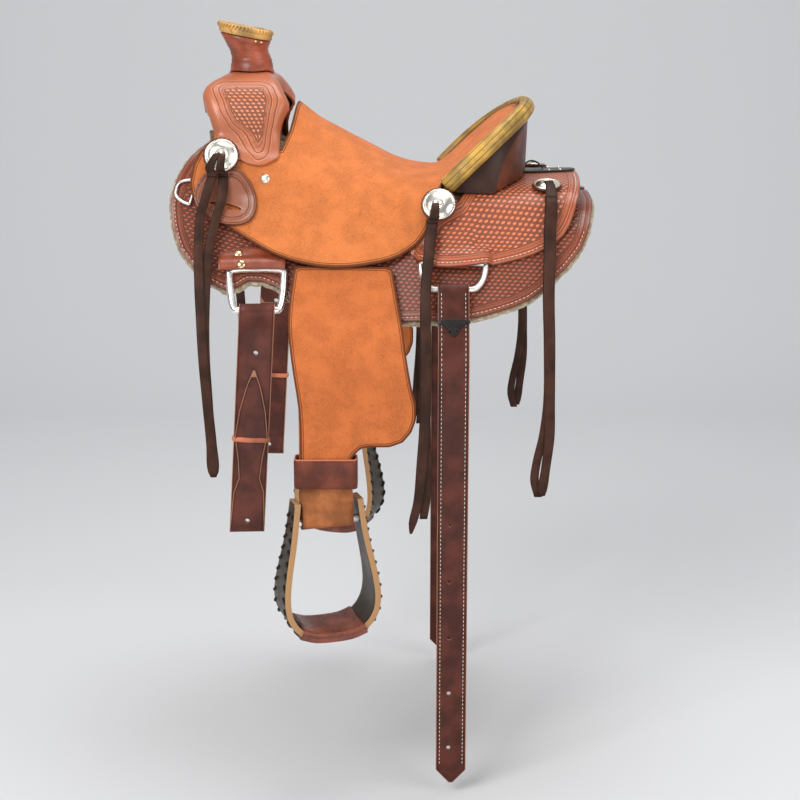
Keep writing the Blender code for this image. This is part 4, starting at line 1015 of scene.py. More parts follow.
# Fork and its cover
def fork_front(z):
    return through(((0.06, -0.268), (0.107, -0.284), (0.143, -0.294), (0.165, -0.3005), (0.18, -0.305),
                    (0.19, -0.302), (0.197, -0.292), (0.205, -0.273)), z)


def fork_rear(z):
    return through(((0.06, -0.186), (0.12, -0.184), (0.14, -0.1795), (0.15, -0.176), (0.166, -0.1715),
                    (0.175, -0.1745), (0.19, -0.182), (0.199, -0.188), (0.205, -0.196)), z)


ARCH = [math.radians(a) for a in range(0, 97, 4)]


def arch_point(girth):
    """Point and outward direction of the fork's arch at a distance from its crown."""
    run, last = 0.0, None
    for k, angle in enumerate(ARCH):
        y, z = oval(angle, FORK_HALF_WIDTH, FORK_RISE, FORK_POWER)
        here = Vector((0, y, z + FORK_FOOT))
        if last is not None:
            step = (here - last).length
            if run + step >= girth or k == len(ARCH) - 1:
                run_out = (here - last).normalized()
                at = last + run_out * (girth - run)
                return at, Vector((0, -run_out.z, run_out.y))
            run += step
        last = here
    return last, Vector((0, 1, 0))


def cover_section(a, front, rear):
    """(x, rise, degrees) of the cover's section at a, measured from the fork's front edge."""
    flat = rear - front - 2 * WRAP_RADIUS
    if a < 0:
        return front, -WRAP_RADIUS + a, 180
    if a < WRAP_QUARTER:
        turn = a / WRAP_RADIUS
        return (front + WRAP_RADIUS * (1 - math.cos(turn)), -WRAP_RADIUS * (1 - math.sin(turn)),
                180 - math.degrees(turn))
    a -= WRAP_QUARTER
    share = a / COVER_FLAT
    if share < 1:
        return front + WRAP_RADIUS + flat * share, 0.0, 90
    turn = min((a - COVER_FLAT) / WRAP_RADIUS, math.pi / 2)
    down = max(a - COVER_FLAT - WRAP_QUARTER, 0)
    return (rear - WRAP_RADIUS * (1 - math.sin(turn)), -WRAP_RADIUS * (1 - math.cos(turn)) - down,
            90 - math.degrees(turn))


# The shield of basket stamps on each side of the fork, as (length, girth) on the flat cover
SHIELD = ((0.044, 0.09), (0.101, 0.09), (0.103, 0.128), (0.106, 0.15), (0.104, 0.164),
          (0.096, 0.167), (0.056, 0.143), (0.049, 0.128))


def mark_panel(obj, corners):
    """Keeps how far each point lies inside the panel, on either side; outside it counts as less than zero."""
    flat = [(item.vector[0], abs(item.vector[1])) for item in obj.data.attributes["flat"].data]
    _, off = to_outline([np.array(p) for p in flat], even(corners, 0.002, closed=True))
    depth = []
    for (x, y), far in zip(flat, off):
        crossings = sum((a[1] > y) != (b[1] > y) and x < a[0] + (b[0] - a[0]) * (y - a[1]) / (b[1] - a[1])
                        for a, b in zip(corners, corners[1:] + corners[:1]))
        depth.append(far if crossings % 2 else -far)
    made = obj.data.attributes.new("panel", "FLOAT_VECTOR", "POINT").data
    made.foreach_set("vector", np.array([(d, 0.0, 0.0) for d in depth], np.float32).ravel())


def fork_cover():
    """The carved cover over the fork, open round the horn."""

    def place(a, girth, face):
        at, out = arch_point(abs(girth))
        front, rear = fork_front(at.z), fork_rear(at.z)
        x, rise, degrees = cover_section(a, front, rear)
        lean = math.radians(degrees)
        thick = FORK_COVER * (face - 1)
        p = at + out * (rise + thick * math.sin(lean))
        p.x = x + thick * math.cos(lean)
        low = smooth((abs(girth) - LOBE_START) / LOBE_BLEND)
        if low > 0:
            g = LOBE_GIRTH + abs(girth) - LOBE_START
            lift = seat_under(p.x, g) + SEAT + 2.5 * GAP + FORK_COVER * face
            p = p.lerp(on_form(p.x, g, lift), low)
        p.y = math.copysign(p.y, girth)
        return p

    def edge(side):
        return [(a, side * g) for a, g in (
            (-COVER_FRONT, 0.166), (0.0, 0.17), (WRAP_QUARTER, 0.18), (0.045, 0.185), (0.065, 0.19),
            (0.085, 0.191), (0.103, 0.19), (COVER_LENGTH - WRAP_QUARTER, 0.186),
            (COVER_LENGTH - 0.006, 0.176), (COVER_LENGTH + COVER_REAR, 0.17))]

    outline = fair(edge(1), [edge(1)[-1], edge(-1)[-1]], edge(-1)[::-1], [edge(-1)[0], edge(1)[0]],
                   step=0.006)
    cover = cut_sheet("carved_fork_cover", outline, place, 0.0045, ROUND_OFF)
    mark_panel(cover, list(SHIELD))
    clear = HORN_POST + 0.003
    bm = bmesh.new()
    bm.from_mesh(cover.data)
    hidden = [f for f in bm.faces if all(
        math.hypot(v.co.x - HORN_CENTRE, v.co.y) < clear and v.co.z > 0.19 for v in f.verts)]
    bmesh.ops.delete(bm, geom=hidden, context="FACES")
    bm.to_mesh(cover.data)
    bm.free()
    dress(cover, "saddle", COVER_RUSSET, ["fork_cover"])


# Horn
def horn_point(radius, angle, z, tilt, fall=0.0):
    """A point round the horn, which leans forward as it rises."""
    x, y = radius * math.cos(angle), radius * math.sin(angle)
    forward = HORN_FORWARD * smooth((z - 0.22) / 0.035)
    return HORN_CENTRE - forward + x * math.cos(tilt), y, z - x * math.sin(tilt) - fall


def horn_ring(z, radius, tilt, saddle=0.0, sides=18):
    """A ring round the horn; saddle bends it down to the fork's round top."""
    ring = []
    for a in steps(sides):
        x, y = radius * math.cos(a), radius * math.sin(a)
        fall = FORK_RISE * (1 - (1 - (abs(y) / FORK_HALF_WIDTH) ** FORK_POWER) ** (1 / FORK_POWER))
        over = min(max(abs(x) - CROWN_FLAT, 0), WRAP_RADIUS)
        fall += WRAP_RADIUS - math.sqrt(WRAP_RADIUS**2 - over**2)
        ring.append(horn_point(radius, a, z, tilt, saddle * fall))
    return ring


def horn():
    """The horn's wrapping, its studs, and its laced rawhide cap."""
    top = FORK_FOOT + FORK_RISE
    tilt = HORN_TILT
    wrap = [(top + 0.0022, 0.0356, 0, 1.0), (top + 0.0048, 0.0352, 0, 0.9),
            (top + 0.0056, 0.0338, 0, 0.85), (0.2165, 0.033, 0, 0.2), (0.219, 0.0316, 0),
            (0.2215, 0.0322, 0), (0.2235, 0.0312, 0), (0.229, 0.0303, 0), (0.2305, 0.0309, 0),
            (0.2325, 0.0305, tilt / 4), (0.238, 0.0312, tilt / 2), (0.2395, 0.0322, tilt / 2),
            (0.2415, 0.0322, tilt / 2), (0.25, 0.0366, tilt), (0.2575, 0.0405, tilt),
            (0.2578, 0.037, tilt), (0.2565, 0.0225, tilt), (0.242, 0.0222, tilt / 2), (0.228, 0.0222, 0),
            (top + 0.0012, 0.0222, 0, 1.0)]
    neck = skin("horn_wrapping", [horn_ring(*r, sides=64) for r in wrap], closed_along=True)
    dress(neck, "saddle", PLAIN_RUSSET, ["horn_wrap"])
    for label, degrees in (("front", -61), ("rear", -46)):
        turn = math.radians(degrees)
        out = Vector((math.cos(turn), math.sin(turn), -0.35)).normalized()
        along = out.cross(Vector((0, 0, 1))).normalized()
        at = Vector(horn_point(0.0394, turn, 0.2548, tilt))
        screw(f"horn_stud_{label}", frame_at(at, along, out), HORN_STUD, BRASS)
    lip = HORN_CAP + 0.0008
    cap = [(0.2648, 0.004), (0.2648, 0.0372), (0.2595, 0.0378), (0.2588, 0.04), (0.26, lip - 0.0004),
           (0.2635, lip), (0.2675, lip), (0.27, lip - 0.0008), (0.2718, lip - 0.0028), (0.2728, 0.0365),
           (0.2733, 0.03), (0.2734, 0.018), (0.2734, 0.004)]
    disc = skin("horn_cap_rawhide", [horn_ring(*r, tilt, sides=96) for r in cap])
    dress(disc, "saddle", RAWHIDE, ["horn_cap"])
    lace = []
    for around in steps(LACE_LAPS * LACE_LAP_POINTS):
        roll = around * LACE_LAPS
        radius = lip - 0.0016 + 0.0026 * math.cos(roll)
        lace.append(horn_point(radius, around, 0.2702 + 0.003 * math.sin(roll), tilt))
    cords("horn_cap_lace", [lace], 0.0017, RAWHIDE, "saddle", closed=True)


# Seat and cantle
def seat_outline():
    """Both sides of the seat's pattern, closed round the cantle's face."""
    side = mm((-160, 0), (-164, 25), (-172, 60), (-183, 86), (-205, 94), (-262, 94), (-284, 97),
              (-303, 106), (-315, 125), (-321, 146), (-319, 166), (-308, 181), (-282, 196), (-256, 208),
              (-228, 221), (-197, 234), (-167, 240), (-121, 240), (-76, 233), (-30, 220), (0, 206),
              (23, 190), (43, 170))
    rim = []
    inset = BINDING_IN + FIT + (GAP + SEAT) / math.tan(CANTLE_LEAN)
    for degrees in range(81, -1, -9):
        more = 0.02 * smooth((degrees - 35) / 45)
        across, up = on_rim(math.radians(max(degrees, 0)), inset + more)
        at = on_cantle(across, up, 0)
        rim.append((at.x, girth_at_reach(at.x, max(at.y, 0.0), 0.046)))
    rim[-1] = (rim[-1][0], 0.0)
    off = side + [(0.048, 0.152), (0.064, 0.126), (0.08, 0.112)]
    near = [(x, -g) for x, g in off]
    return fair(off, [off[-1], rim[0]], rim, [(x, -g) for x, g in rim[::-1]],
                [(rim[0][0], -rim[0][1]), near[-1]], near[::-1], step=0.02)


def seat():
    """The rough-out seat and its two screws."""

    def place(x, g, face):
        lift = seat_under(x, g) + SEAT * face
        return seat_point(x, g, lift, GAP + SEAT * face)

    leather("rough_out_seat", seat_outline(), place, "saddle", SEAT_SUEDE,
            ["seat_leather"], 0.0075)
    for name, side in SIDES:
        at = surface_frame(-0.206, side * 0.126, lambda x, g: place(x, g, 1.0))
        screw(f"seat_screw_{name}", at, SEAT_SCREW, SILVER)


def cantle_trim():
    """The laced binding round the cantle's rim and the leather behind the cantle."""
    half_in, half_back = (BINDING_IN + BINDING_OUT) / 2, (BINDING_BACK + BINDING_FRONT) / 2
    rows = []
    for k in range(161):
        angle = CANTLE_END * (k / 80 - 1)
        row = []
        for a in steps(60):
            roll = 0.93 + 0.07 * abs(math.cos(4 * a + 0.3 * math.sin(angle * 3))) ** 0.6
            inset = (BINDING_IN - BINDING_OUT) / 2 + half_in * roll * math.cos(a)
            back = (BINDING_BACK - BINDING_FRONT) / 2 - half_back * roll * math.sin(a)
            row.append(on_cantle(*on_rim(angle, inset), back))
        rows.append(row)
    dress(skin("rawhide_binding", rows), "saddle", LACED_RAWHIDE, ["cantle_binding"])
    inner = CANTLE_PLAY + CANTLE_WOOD + GAP
    inset = BINDING_IN + 0.0011
    foot = [cantle_foot(across, inner + BACKING, lambda x, g: jockey_under(x, g) + JOCKEY)
            for across in (0.142, 0.12, 0.08, 0.04, 0, -0.04, -0.08, -0.12, -0.142)]
    back = fair(
        [on_rim(math.radians(a), inset) for a in range(-104, 105, 8)],
        [on_rim(math.radians(104), inset)] + foot + [on_rim(math.radians(-104), inset)],
        step=0.008,
    )
    tops = []
    for y in (0.0, 0.02, 0.04, 0.06, 0.08, 0.1, 0.12, 0.145):
        lift = jockey_under(BACK_X, 0.1) + JOCKEY
        tops.append((y, on_form(BACK_X, girth_at_reach(BACK_X, y, lift), lift).z + GAP))

    def full(a, b, face):
        """The back drops almost straight from under the binding to the jockeys."""
        share = min(abs(a) / CANTLE_HALF_WIDTH, 1.0)
        rim = (CANTLE_REACH - inset) * (1 - share**CANTLE_POWER) ** (1 / CANTLE_POWER)
        flat = on_cantle(a, b, inner + BACKING * face)
        drop = max(rim - b, 0.0) * math.tan(CANTLE_LEAN) * BACK_FILL
        clear = max(flat.z - through(tops, abs(a)), 0.0) / math.sin(CANTLE_LEAN)
        return on_cantle(a, b, inner + (BACKING + min(drop, clear)) * face)

    leather("cantle_backing", back, full, "saddle", DARK, ["cantle_back"], 0.007)


def cantle_foot(across, back, top):
    """Where a plate behind the cantle's face comes down on a leather's top."""

    def clear(up):
        p = on_cantle(across, up, back)
        girth = girth_at_reach(p.x, abs(across), top(p.x, 0.1))
        return p.z - GAP - on_form(p.x, girth, top(p.x, girth)).z

    return across, solve(clear, 0, -0.11, 0.06)


# Conchos and strings
CONCHOS = (
    # name, x, girth, radius, clearance over the leather, length of the shank down to it
    ("front", -0.272, 0.113, 0.027, 0.0095, 0.0113),
    ("mid", 0.059, 0.15, 0.0265, 0.0095, 0.0151),
    ("rear", 0.225, 0.121, 0.0225, 0.0035, 0.0038),
)


def top_leather(name, clear):
    """Points over the leather that a concho lies on."""
    if name == "rear":
        return lambda x, g: on_form(x, g, jockey_under(x, g) + JOCKEY + clear)
    return lambda x, g: seat_point(x, g, seat_under(x, g) + SEAT + clear, GAP + SEAT + clear)


def conchos():
    """Three silver conchos on each side, each on a scalloped rosette and a post."""
    for label, x, girth, r, clear, shank in CONCHOS:
        for name, side in SIDES:
            at = surface_frame(x, side * girth, top_leather(label, clear))

            def beads(u, z, a):
                rope = smooth((u / r - 0.8) / 0.04) * (1 - smooth((u / r - 0.95) / 0.03))
                return u, z + 0.0003 * rope * math.cos(40 * a)

            dome = [(0.0004, 0.005), (r * 0.2, 0.0052), (r * 0.25, 0.0074), (r * 0.32, 0.008),
                    (r * 0.42, 0.0078), (r * 0.55, 0.007), (r * 0.68, 0.0054), (r * 0.77, 0.0038),
                    (r * 0.8, 0.0034), (r * 0.83, 0.0044), (r * 0.88, 0.005), (r * 0.93, 0.0042),
                    (r * 0.95, 0.0026), (r * 0.9, 0.002)]
            cup = turned(f"silver_{label}_concho_{name}", dome, at, 96, beads)
            dress(cup, "saddle", SILVER, [f"{label}_concho_{name}"])

            def scallops(u, z, a):
                wave = 1.0 + 0.035 * abs(math.cos(12 * a)) ** 0.5
                return u * (wave if u > r * 0.5 else 1.0), z

            petals = [(0.0004, 0.0), (r * 0.9, 0.0), (r, 0.0004), (r, 0.0016), (r * 0.97, 0.002),
                      (r * 0.6, 0.002), (0.0004, 0.002)]
            rosette = turned(f"{label}_rosette_{name}", petals, at, 96, scallops)
            dress(rosette, "saddle", STRAP)
            post = turned(f"{label}_concho_post_{name}", [(POST, 0.0), (POST, -shank)], at, 16)
            dress(post, "saddle", SILVER)


STRINGS = {
    # two tails of one lace: (height, x of the middle, width) from the fold down
    "front": (
        mm((53.5, -286, 15), (20, -295.5, 14.5), (0, -301.5, 14.5), (-40, -303.7, 14.5),
           (-90, -301.7, 14.5), (-140, -295.7, 14.5), (-190, -291.5, 14.5), (-260, -286.5, 15),
           (-330, -281.5, 16), (-372, -280, 16), (-380, -280, 9)),
        mm((53.5, -269, 15), (20, -270.5, 15), (0, -277, 14.5), (-40, -287, 14.5), (-90, -291.5, 14.5),
           (-140, -290.5, 14.5), (-190, -288.5, 14), (-260, -285.5, 14), (-300, -283.5, 13)),
    ),
    "mid": (
        mm((-11.3, 48, 16.5), (-30, 45, 16.5), (-50, 43.5, 16.5), (-90, 39, 16), (-140, 37.5, 16),
           (-200, 38.5, 16.5), (-300, 37, 16.5), (-360, 33, 16.5), (-420, 27, 14), (-455, 19, 12),
           (-470, 16.5, 4)),
        mm((-11.3, 49, 16), (-50, 44, 16), (-90, 39.5, 15.5), (-140, 38, 15.5), (-200, 39, 16),
           (-300, 38, 15.5), (-360, 40, 15), (-420, 39, 14), (-448, 35.5, 12)),
    ),
    "rear": (
        mm((25, 229, 18), (-20, 226.5, 18), (-60, 224.5, 18), (-110, 222, 17), (-180, 221.5, 16.5),
           (-270, 223, 16), (-320, 224, 15), (-370, 219, 14), (-405, 215, 13), (-412, 215, 8)),
        mm((25, 228, 17), (-20, 225.5, 17), (-60, 223.5, 16.5), (-110, 221, 16), (-180, 220.5, 15.5),
           (-270, 221, 15), (-320, 215, 14), (-360, 206, 13), (-390, 203, 13), (-415, 209, 12)),
    ),
}
STRING_HANG = {"front": (0.0443, 0.0325, 0.03), "mid": (0.045, 0.03, -0.12),
               "rear": (0.047, 0.024, 0.028)}


def strings():
    """Each lace is folded at its concho and hangs as two tails, one over the other."""
    for label, (outer, inner) in STRINGS.items():
        high, low, drop = STRING_HANG[label]
        for name, side in SIDES:
            rows = []
            for tail, layer in ((inner[::-1], 0), (outer, 1)):
                knots_x = [(-z, x) for z, x, _ in (tail if layer else tail[::-1])]
                knots_w = [(-z, w) for z, _, w in (tail if layer else tail[::-1])]
                for z in spaced(tail[0][0], tail[-1][0], 0.008):
                    x, width = through(knots_x, -z), max(through(knots_w, -z), 0.003)
                    base = high + (low - high) * smooth((drop - z) / 0.06)
                    middle = base + (STRING_THICK + GAP) * layer + STRING_THICK / 2
                    turn = 1 if layer else -1
                    rows.append([on_form(x + a, side * girth_at_height(x + a, z, middle),
                                         middle + out * turn)
                                 for a, out in band(width, STRING_THICK, 12)])
            obj = skin(f"{label}_lace_{name}", rows)
            dress(obj, f"{label}_string_{name}", LACE, [f"{label}_string_{name}"])
            tops = [(outer[0], 1)] + ([(inner[0], 0)] if label == "front" else [])
            for (z, x, width), layer in tops:
                string_root(f"{label}_lace_root_{name}_{layer}", label, side, x, z, width,
                            high + (STRING_THICK + GAP) * layer + STRING_THICK / 2)


def string_root(name, label, side, x, z, width, lift):
    """The lace from the slot in its concho, over the silver's lower half, to where it hangs."""
    _, centre, girth, radius, clear, _ = next(c for c in CONCHOS if c[0] == label)
    at = surface_frame(centre, side * girth, top_leather(label, clear))
    shift = x - centre
    line = [at @ Vector((shift * a, side * radius * b, up)) for a, b, up in (
        (0.5, -0.02, 0.006), (0.55, 0.14, 0.01), (0.8, 0.55, 0.0094), (1.0, 0.92, 0.0068))]
    for high in (z + 0.006, z + 0.0008):
        line.append(on_form(x, side * girth_at_height(x, high, lift), lift))
    ribbon(name, [Vector(p) for p in even(rounded(line), 0.003)], (width * 0.72, width), 0.003,
           LACE, "saddle")


def ribbon(name, line, widths, thick, mat, body):
    """A flat lace along a line of points, level across the line; widths are those of its two ends."""
    level = Vector((1, 0, 0))
    rows = []
    for k, at in enumerate(line):
        ahead = (line[min(k + 1, len(line) - 1)] - line[max(k - 1, 0)]).normalized()
        out = ahead.cross(level).normalized()
        width = widths[0] + (widths[1] - widths[0]) * smooth(k / (len(line) - 1))
        rows.append([at + level * a + out * b for a, b in band(width, thick, 14)])
    dress(skin(name, rows), body, mat)


# Rigging
KEEPER_EDGE = fair(
    mm((-262, 122), (-244, 121), (-226, 136), (-218, 158), (-221, 180), (-233, 196), (-256, 205),
       (-280, 204), (-301, 195), (-313, 180), (-314, 160), (-303, 140), (-285, 126), (-262, 122)),
    step=0.018,
)


def keeper_under(x, girth):
    return seat_under(x, girth) + SEAT + 2 * GAP


def slope_frame(x, girth, lift, side, follow=False):
    """X level along the saddle, Y down its side, Z out of it; mirrored on the near side."""
    d = 0.03
    at = on_form(x, girth, lift)
    ends = [on_form(e, girth_at_height(e, at.z, lift), lift) for e in (x - d, x + d)]
    along = (ends[1] - ends[0]).normalized() if follow else Vector((1, 0, 0))
    down = (on_form(x, girth + 0.002, lift) - on_form(x, girth - 0.002, lift)).normalized()
    return Matrix.Diagonal((1, side, 1, 1)) @ frame_at(at, along, along.cross(down).normalized())


def dee_points(half, drop, low_half, corner=10):
    """A dee's centre line: a straight bar above, sides that draw in, and a straight foot."""
    points = [(-half, 0), (half, 0)]
    for k in range(1, corner + 1):
        t = math.radians(90 * k / corner)
        points.append((low_half + (half - low_half) * math.cos(t), drop * math.sin(t)))
    return points + [(-x, y) for x, y in points[:1:-1]]


def ring(name, half, drop, low_half, radius, at, node):
    """A dee of round wire."""
    line = rounded(dee_points(half, drop, low_half), closed=True)
    made = cords(name, [[at @ Vector((x, y, 0)) for x, y in line]], radius, STEEL, node,
                 closed=True)
    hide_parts(node)


def pegs(name, places, radius, reach):
    """Hidden cutters for punched holes; a place is a frame at the hole."""
    bm = bmesh.new()
    for at in places:
        bmesh.ops.create_cone(bm, cap_ends=True, segments=16, radius1=radius, radius2=radius, depth=reach,
                              matrix=at)
    mesh = bpy.data.meshes.new(name)
    bm.to_mesh(mesh)
    bm.free()
    cutter = link(name, mesh)
    cutter.hide_render = True
    return cutter


def punch(obj, cutter):
    """Cuts a piece with a hidden cutter, before its edges are rounded."""
    made = obj.modifiers.new("punch", "BOOLEAN")
    made.object = cutter
    obj.modifiers.move(len(obj.modifiers) - 1, 0)


def rigging():
    """Rigging leathers, rings, keepers, billets and dees on both sides."""
    bar_z = on_form(RING_X, RING_GIRTH, RING_LIFT).z

    def bar_line(x):
        return girth_at_height(x, bar_z, RING_LIFT)

    def plate_under(x, girth):
        fall = min(abs(girth) - bar_line(x), 0) / 0.019
        return SKIRT_OVER + GAP + (2 * RING_WIRE + 0.003) * math.exp(-(fall**4))

    low = [(x, bar_line(x) + 0.004) for x in (-0.274, -0.255, -0.235, -0.215, -0.195, -0.174)]
    plate = fair(low, [low[-1], (-0.173, 0.222)], mm((-173, 222), (-200, 222), (-240, 232), (-275, 250)),
                 [(-0.275, 0.25), low[0]], step=0.006)
    for name, side in SIDES:
        leather(f"rigging_leather_{name}", plate, over_form(plate_under, RIGGING, side), "saddle",
                PLAIN_RUSSET, [f"rigging_plate_{name}"], 0.005, 0.0008)
        for k, (x, g) in enumerate(RIVETS):
            spot = surface_frame(x, side * g, lambda x, g: on_form(x, g, plate_under(x, g) + RIGGING))
            screw(f"rigging_rivet_{name}_{k + 1}", spot, RIVET, BRASS)
        at = slope_frame(RING_X, RING_GIRTH, RING_LIFT, side, follow=True)
        ring(f"rigging_ring_{name}", RING_HALF_WIDTH, RING_DROP, 0.031, RING_WIRE, at, f"front_ring_{name}")
        keeper_place = over_form(keeper_under, KEEPER, side)
        keeper = leather(f"latigo_holder_{name}", rounded(KEEPER_EDGE, closed=True, times=1), keeper_place,
                         "saddle", KEEPER_LEATHER, [f"latigo_keeper_{name}"], 0.006)
        slot_at = surface_frame(-0.266, side * 0.176, lambda x, g: on_form(x, g, keeper_under(x, g)))
        slot_cut = pegs(f"keeper_slot_{name}", [Matrix.Identity(4)], 0.5, 1.0)
        slot_cut.matrix_world = slot_at @ Matrix.Diagonal((0.05, 0.009, 0.05, 1.0))
        punch(keeper, slot_cut)
        off_billet(name, side, at)
        rear_dee(name, side)
        lift = SKIRT_OVER + 2 * FIT + BREAST_WIRE
        at = surface_frame(-0.3175, side * 0.16, lambda x, g: on_form(x, g, lift))
        at = at @ Matrix.Rotation(math.radians(-90), 4, "Z")
        ring(f"breast_ring_{name}", 0.02, -0.026, 0.004, BREAST_WIRE, at, f"breast_dee_{name}")


def along_path(path):
    """Point and normal at a distance along a plane path, the normal to the left of the run."""
    run = arc_lengths(path)

    def at(s):
        s = min(max(s, 0.0), run[-1])
        k = min(max(j for j in range(len(run)) if run[j] <= s), len(path) - 2)
        t = (s - run[k]) / (run[k + 1] - run[k])
        here = Vector(path[k]).lerp(Vector(path[k + 1]), t)
        step = (Vector(path[k + 1]) - Vector(path[k])).normalized()
        return here, Vector((-step.y, step.x))

    return at, run


def off_billet(name, side, ring_at):
    """Down from the ring, folded at the bottom and up its own front to a leaf-shaped end."""
    reach = RING_WIRE + PLAY + STRAP_PLY / 2
    pitch = STRAP_PLY + FIT
    path = [(BILLET_FRONT, -0.07), (BILLET_FRONT, -0.04), (-0.007, -0.026), (-reach, -0.012)]
    path += arc((0, 0), reach, 180, 0, 14)
    path += [(reach, -0.008), (-0.0056 + pitch, -0.026), (BILLET_FRONT + pitch, -0.04),
             (BILLET_FRONT + pitch, BILLET_FOLD)]
    path += arc((BILLET_FRONT + pitch * 1.5, BILLET_FOLD), pitch / 2, 180, 360, 8)[1:]
    turned_up = len(path) - 1
    path += [(BILLET_FRONT + 2 * pitch, -0.092)]
    at, run = along_path(path)
    start = run[turned_up]
    leaf = ((-0.285, 0.047), (-0.262, 0.032), (-0.23, 0.038), (-0.195, 0.05), (-0.155, 0.04),
            (-0.118, 0.022), (-0.092, 0.003))
    plain = even([(BILLET_WIDTH / 2, 0.0), (BILLET_WIDTH / 2, start)], 0.01)
    outline = mirrored(plain + even([(w / 2, start + z - BILLET_FOLD) for z, w in leaf], 0.006))
    yaw = math.atan2(ring_at[1][0], ring_at[0][0])
    base = Matrix.Translation(ring_at @ Vector((0, RING_DROP, 0))) @ Matrix.Rotation(yaw, 4, "Z")
    base = base @ Matrix.Shear("XY", 4, (BILLET_SLANT, 0.0)) @ Matrix.Diagonal((1, side, 1, 1))

    def place(a, s, face):
        here, normal = at(s)
        p = here + normal * STRAP_PLY * (0.5 - face)
        return base @ Vector((a, p.x, p.y))

    body = f"off_billet_{name}"
    billet = leather(f"latigo_billet_{name}", outline, place, body, STRAP, [body])
    holes = ((0.001, 0, -0.066), (0, 0, -0.331))
    spots = [Matrix.Translation(base @ Vector(hole)) @ QUARTER_X for hole in holes]
    punch(billet, pegs(f"billet_punch_{name}", spots, 0.0038, 0.05))
    half, middle = BILLET_WIDTH / 2 + PLAY, BILLET_FRONT + pitch
    deep = pitch + STRAP_PLY / 2 + PLAY
    corners = rounded([(-half, -deep), (half, -deep), (half, deep), (-half, deep)], closed=True, times=3)
    rows = []
    for out, z in ((0.0, -0.004), (0.0016, -0.0034), (0.0022, 0.0), (0.0016, 0.0034), (0.0, 0.004)):
        rows.append([base @ Vector((a, middle + b, z - 0.201 - 0.05 * a)) for a, b in grow(corners, out)])
    dress(skin(f"billet_lace_{name}", rows, closed_along=True), body, SALMON)


def rear_dee(name, side):
    """The rear dee, the chape that holds it, and the flank billet that hangs in it."""
    at = slope_frame(DEE_X, DEE_GIRTH, DEE_LIFT, side)
    ring(f"rear_ring_{name}", DEE_HALF_WIDTH, DEE_DROP, 0.027, DEE_WIRE, at, f"rear_dee_{name}")
    loop = DEE_WIRE + 0.0004 + 0.0015
    path = [(0.176, DEE_LIFT - loop), (0.205, DEE_LIFT - loop)]
    path += arc((DEE_GIRTH, DEE_LIFT), loop, -90, 120, 14)
    girth_strap(f"dee_chape_{name}", path, 0.003, 0.023, side, "saddle", PLAIN_RUSSET,
                f"rear_dee_chape_{name}")
    hook = at @ Vector((0, DEE_DROP, 0))
    hook = Vector((DEE_X, abs(hook.y), hook.z))
    foot = solve(lambda g: (on_form(DEE_X, g + 0.001, 0) - on_form(DEE_X, g, 0)).dot(
        on_form(DEE_X, g, 0) - hook), 0, 0.15, 0.35)
    over = (hook - on_form(DEE_X, foot, 0)).length
    loop = DEE_WIRE + PLAY + FLANK_PLY / 2
    under = DEE_LIFT - loop
    path = [(foot + 0.055, under + 0.0035), (foot + 0.025, under + 0.0035)]
    path += arc((foot, over), loop, 270, 90, 16)
    path += [(foot + 0.01, over + loop - 0.001), (foot + 0.045, under + FLANK_PLY + 0.005),
             (0.33, under + FLANK_PLY + 0.001), (0.36, under + 0.001), (0.39, under), (1.044, under)]
    body = f"flank_billet_{name}"
    place, length = girth_strap(f"flank_strap_{name}", path, FLANK_PLY, FLANK_WIDTH / 2, side, body,
                                FLANK_STRAP, body, tip=0.022, holes=5)
    top = on_face(place, FLANK_PLY)
    start = solve(lambda s: -place(0, s, 1).z, 0.15, 0.09, 0.5)
    tied = [(-0.0245, -0.004), (0.0245, -0.004), (0.0245, 0.0045), (0.012, 0.005), (0.0035, 0.021),
            (-0.0035, 0.021), (-0.012, 0.005), (-0.0245, 0.0045)]
    leather(f"girth_lace_{name}", rounded(tied, closed=True, times=1),
            lambda a, s, face: place(a, start + s, 1 + (0.0002 + 0.0024 * face) / FLANK_PLY), body, BLACK,
            cell=0.006, round_off=0.0008)
    for sign in (-1, 1):
        across = sign * (FLANK_WIDTH / 2 - SEWN_IN)
        line = [(across, 0.085), (across, length - 0.03)]
        stitches(f"flank_thread_{name}_{'front' if sign < 0 else 'rear'}", line, top, body)


def girth_strap(name, path, thick, half, side, body, mat, node, tip=0.0, holes=0):
    """A strap along a path of (girth, lift) points on the form."""
    at, run = along_path(path)
    length = run[-1]
    edge = even([(half, 0.0), (half, length - tip)], 0.01)
    outline = mirrored(edge + ([(0.003, length)] if tip else []))

    def place(a, s, face):
        here, normal = at(s)
        p = here + normal * thick * (face - 0.5)
        level = on_form(DEE_X, p.x, p.y)
        return Vector((DEE_X + a, side * level.y, level.z))

    strap = leather(name, outline, place, body, mat, [node], round_off=0.0009)
    if holes:
        spots = []
        for k in range(holes):
            spot = place(-0.004, length - 0.06 - 0.092 * k, 0.5)
            spots.append(Matrix.Translation(spot) @ QUARTER_X)
        punch(strap, pegs(f"{name}_punch", spots, 0.0032, 0.02))
    return place, length


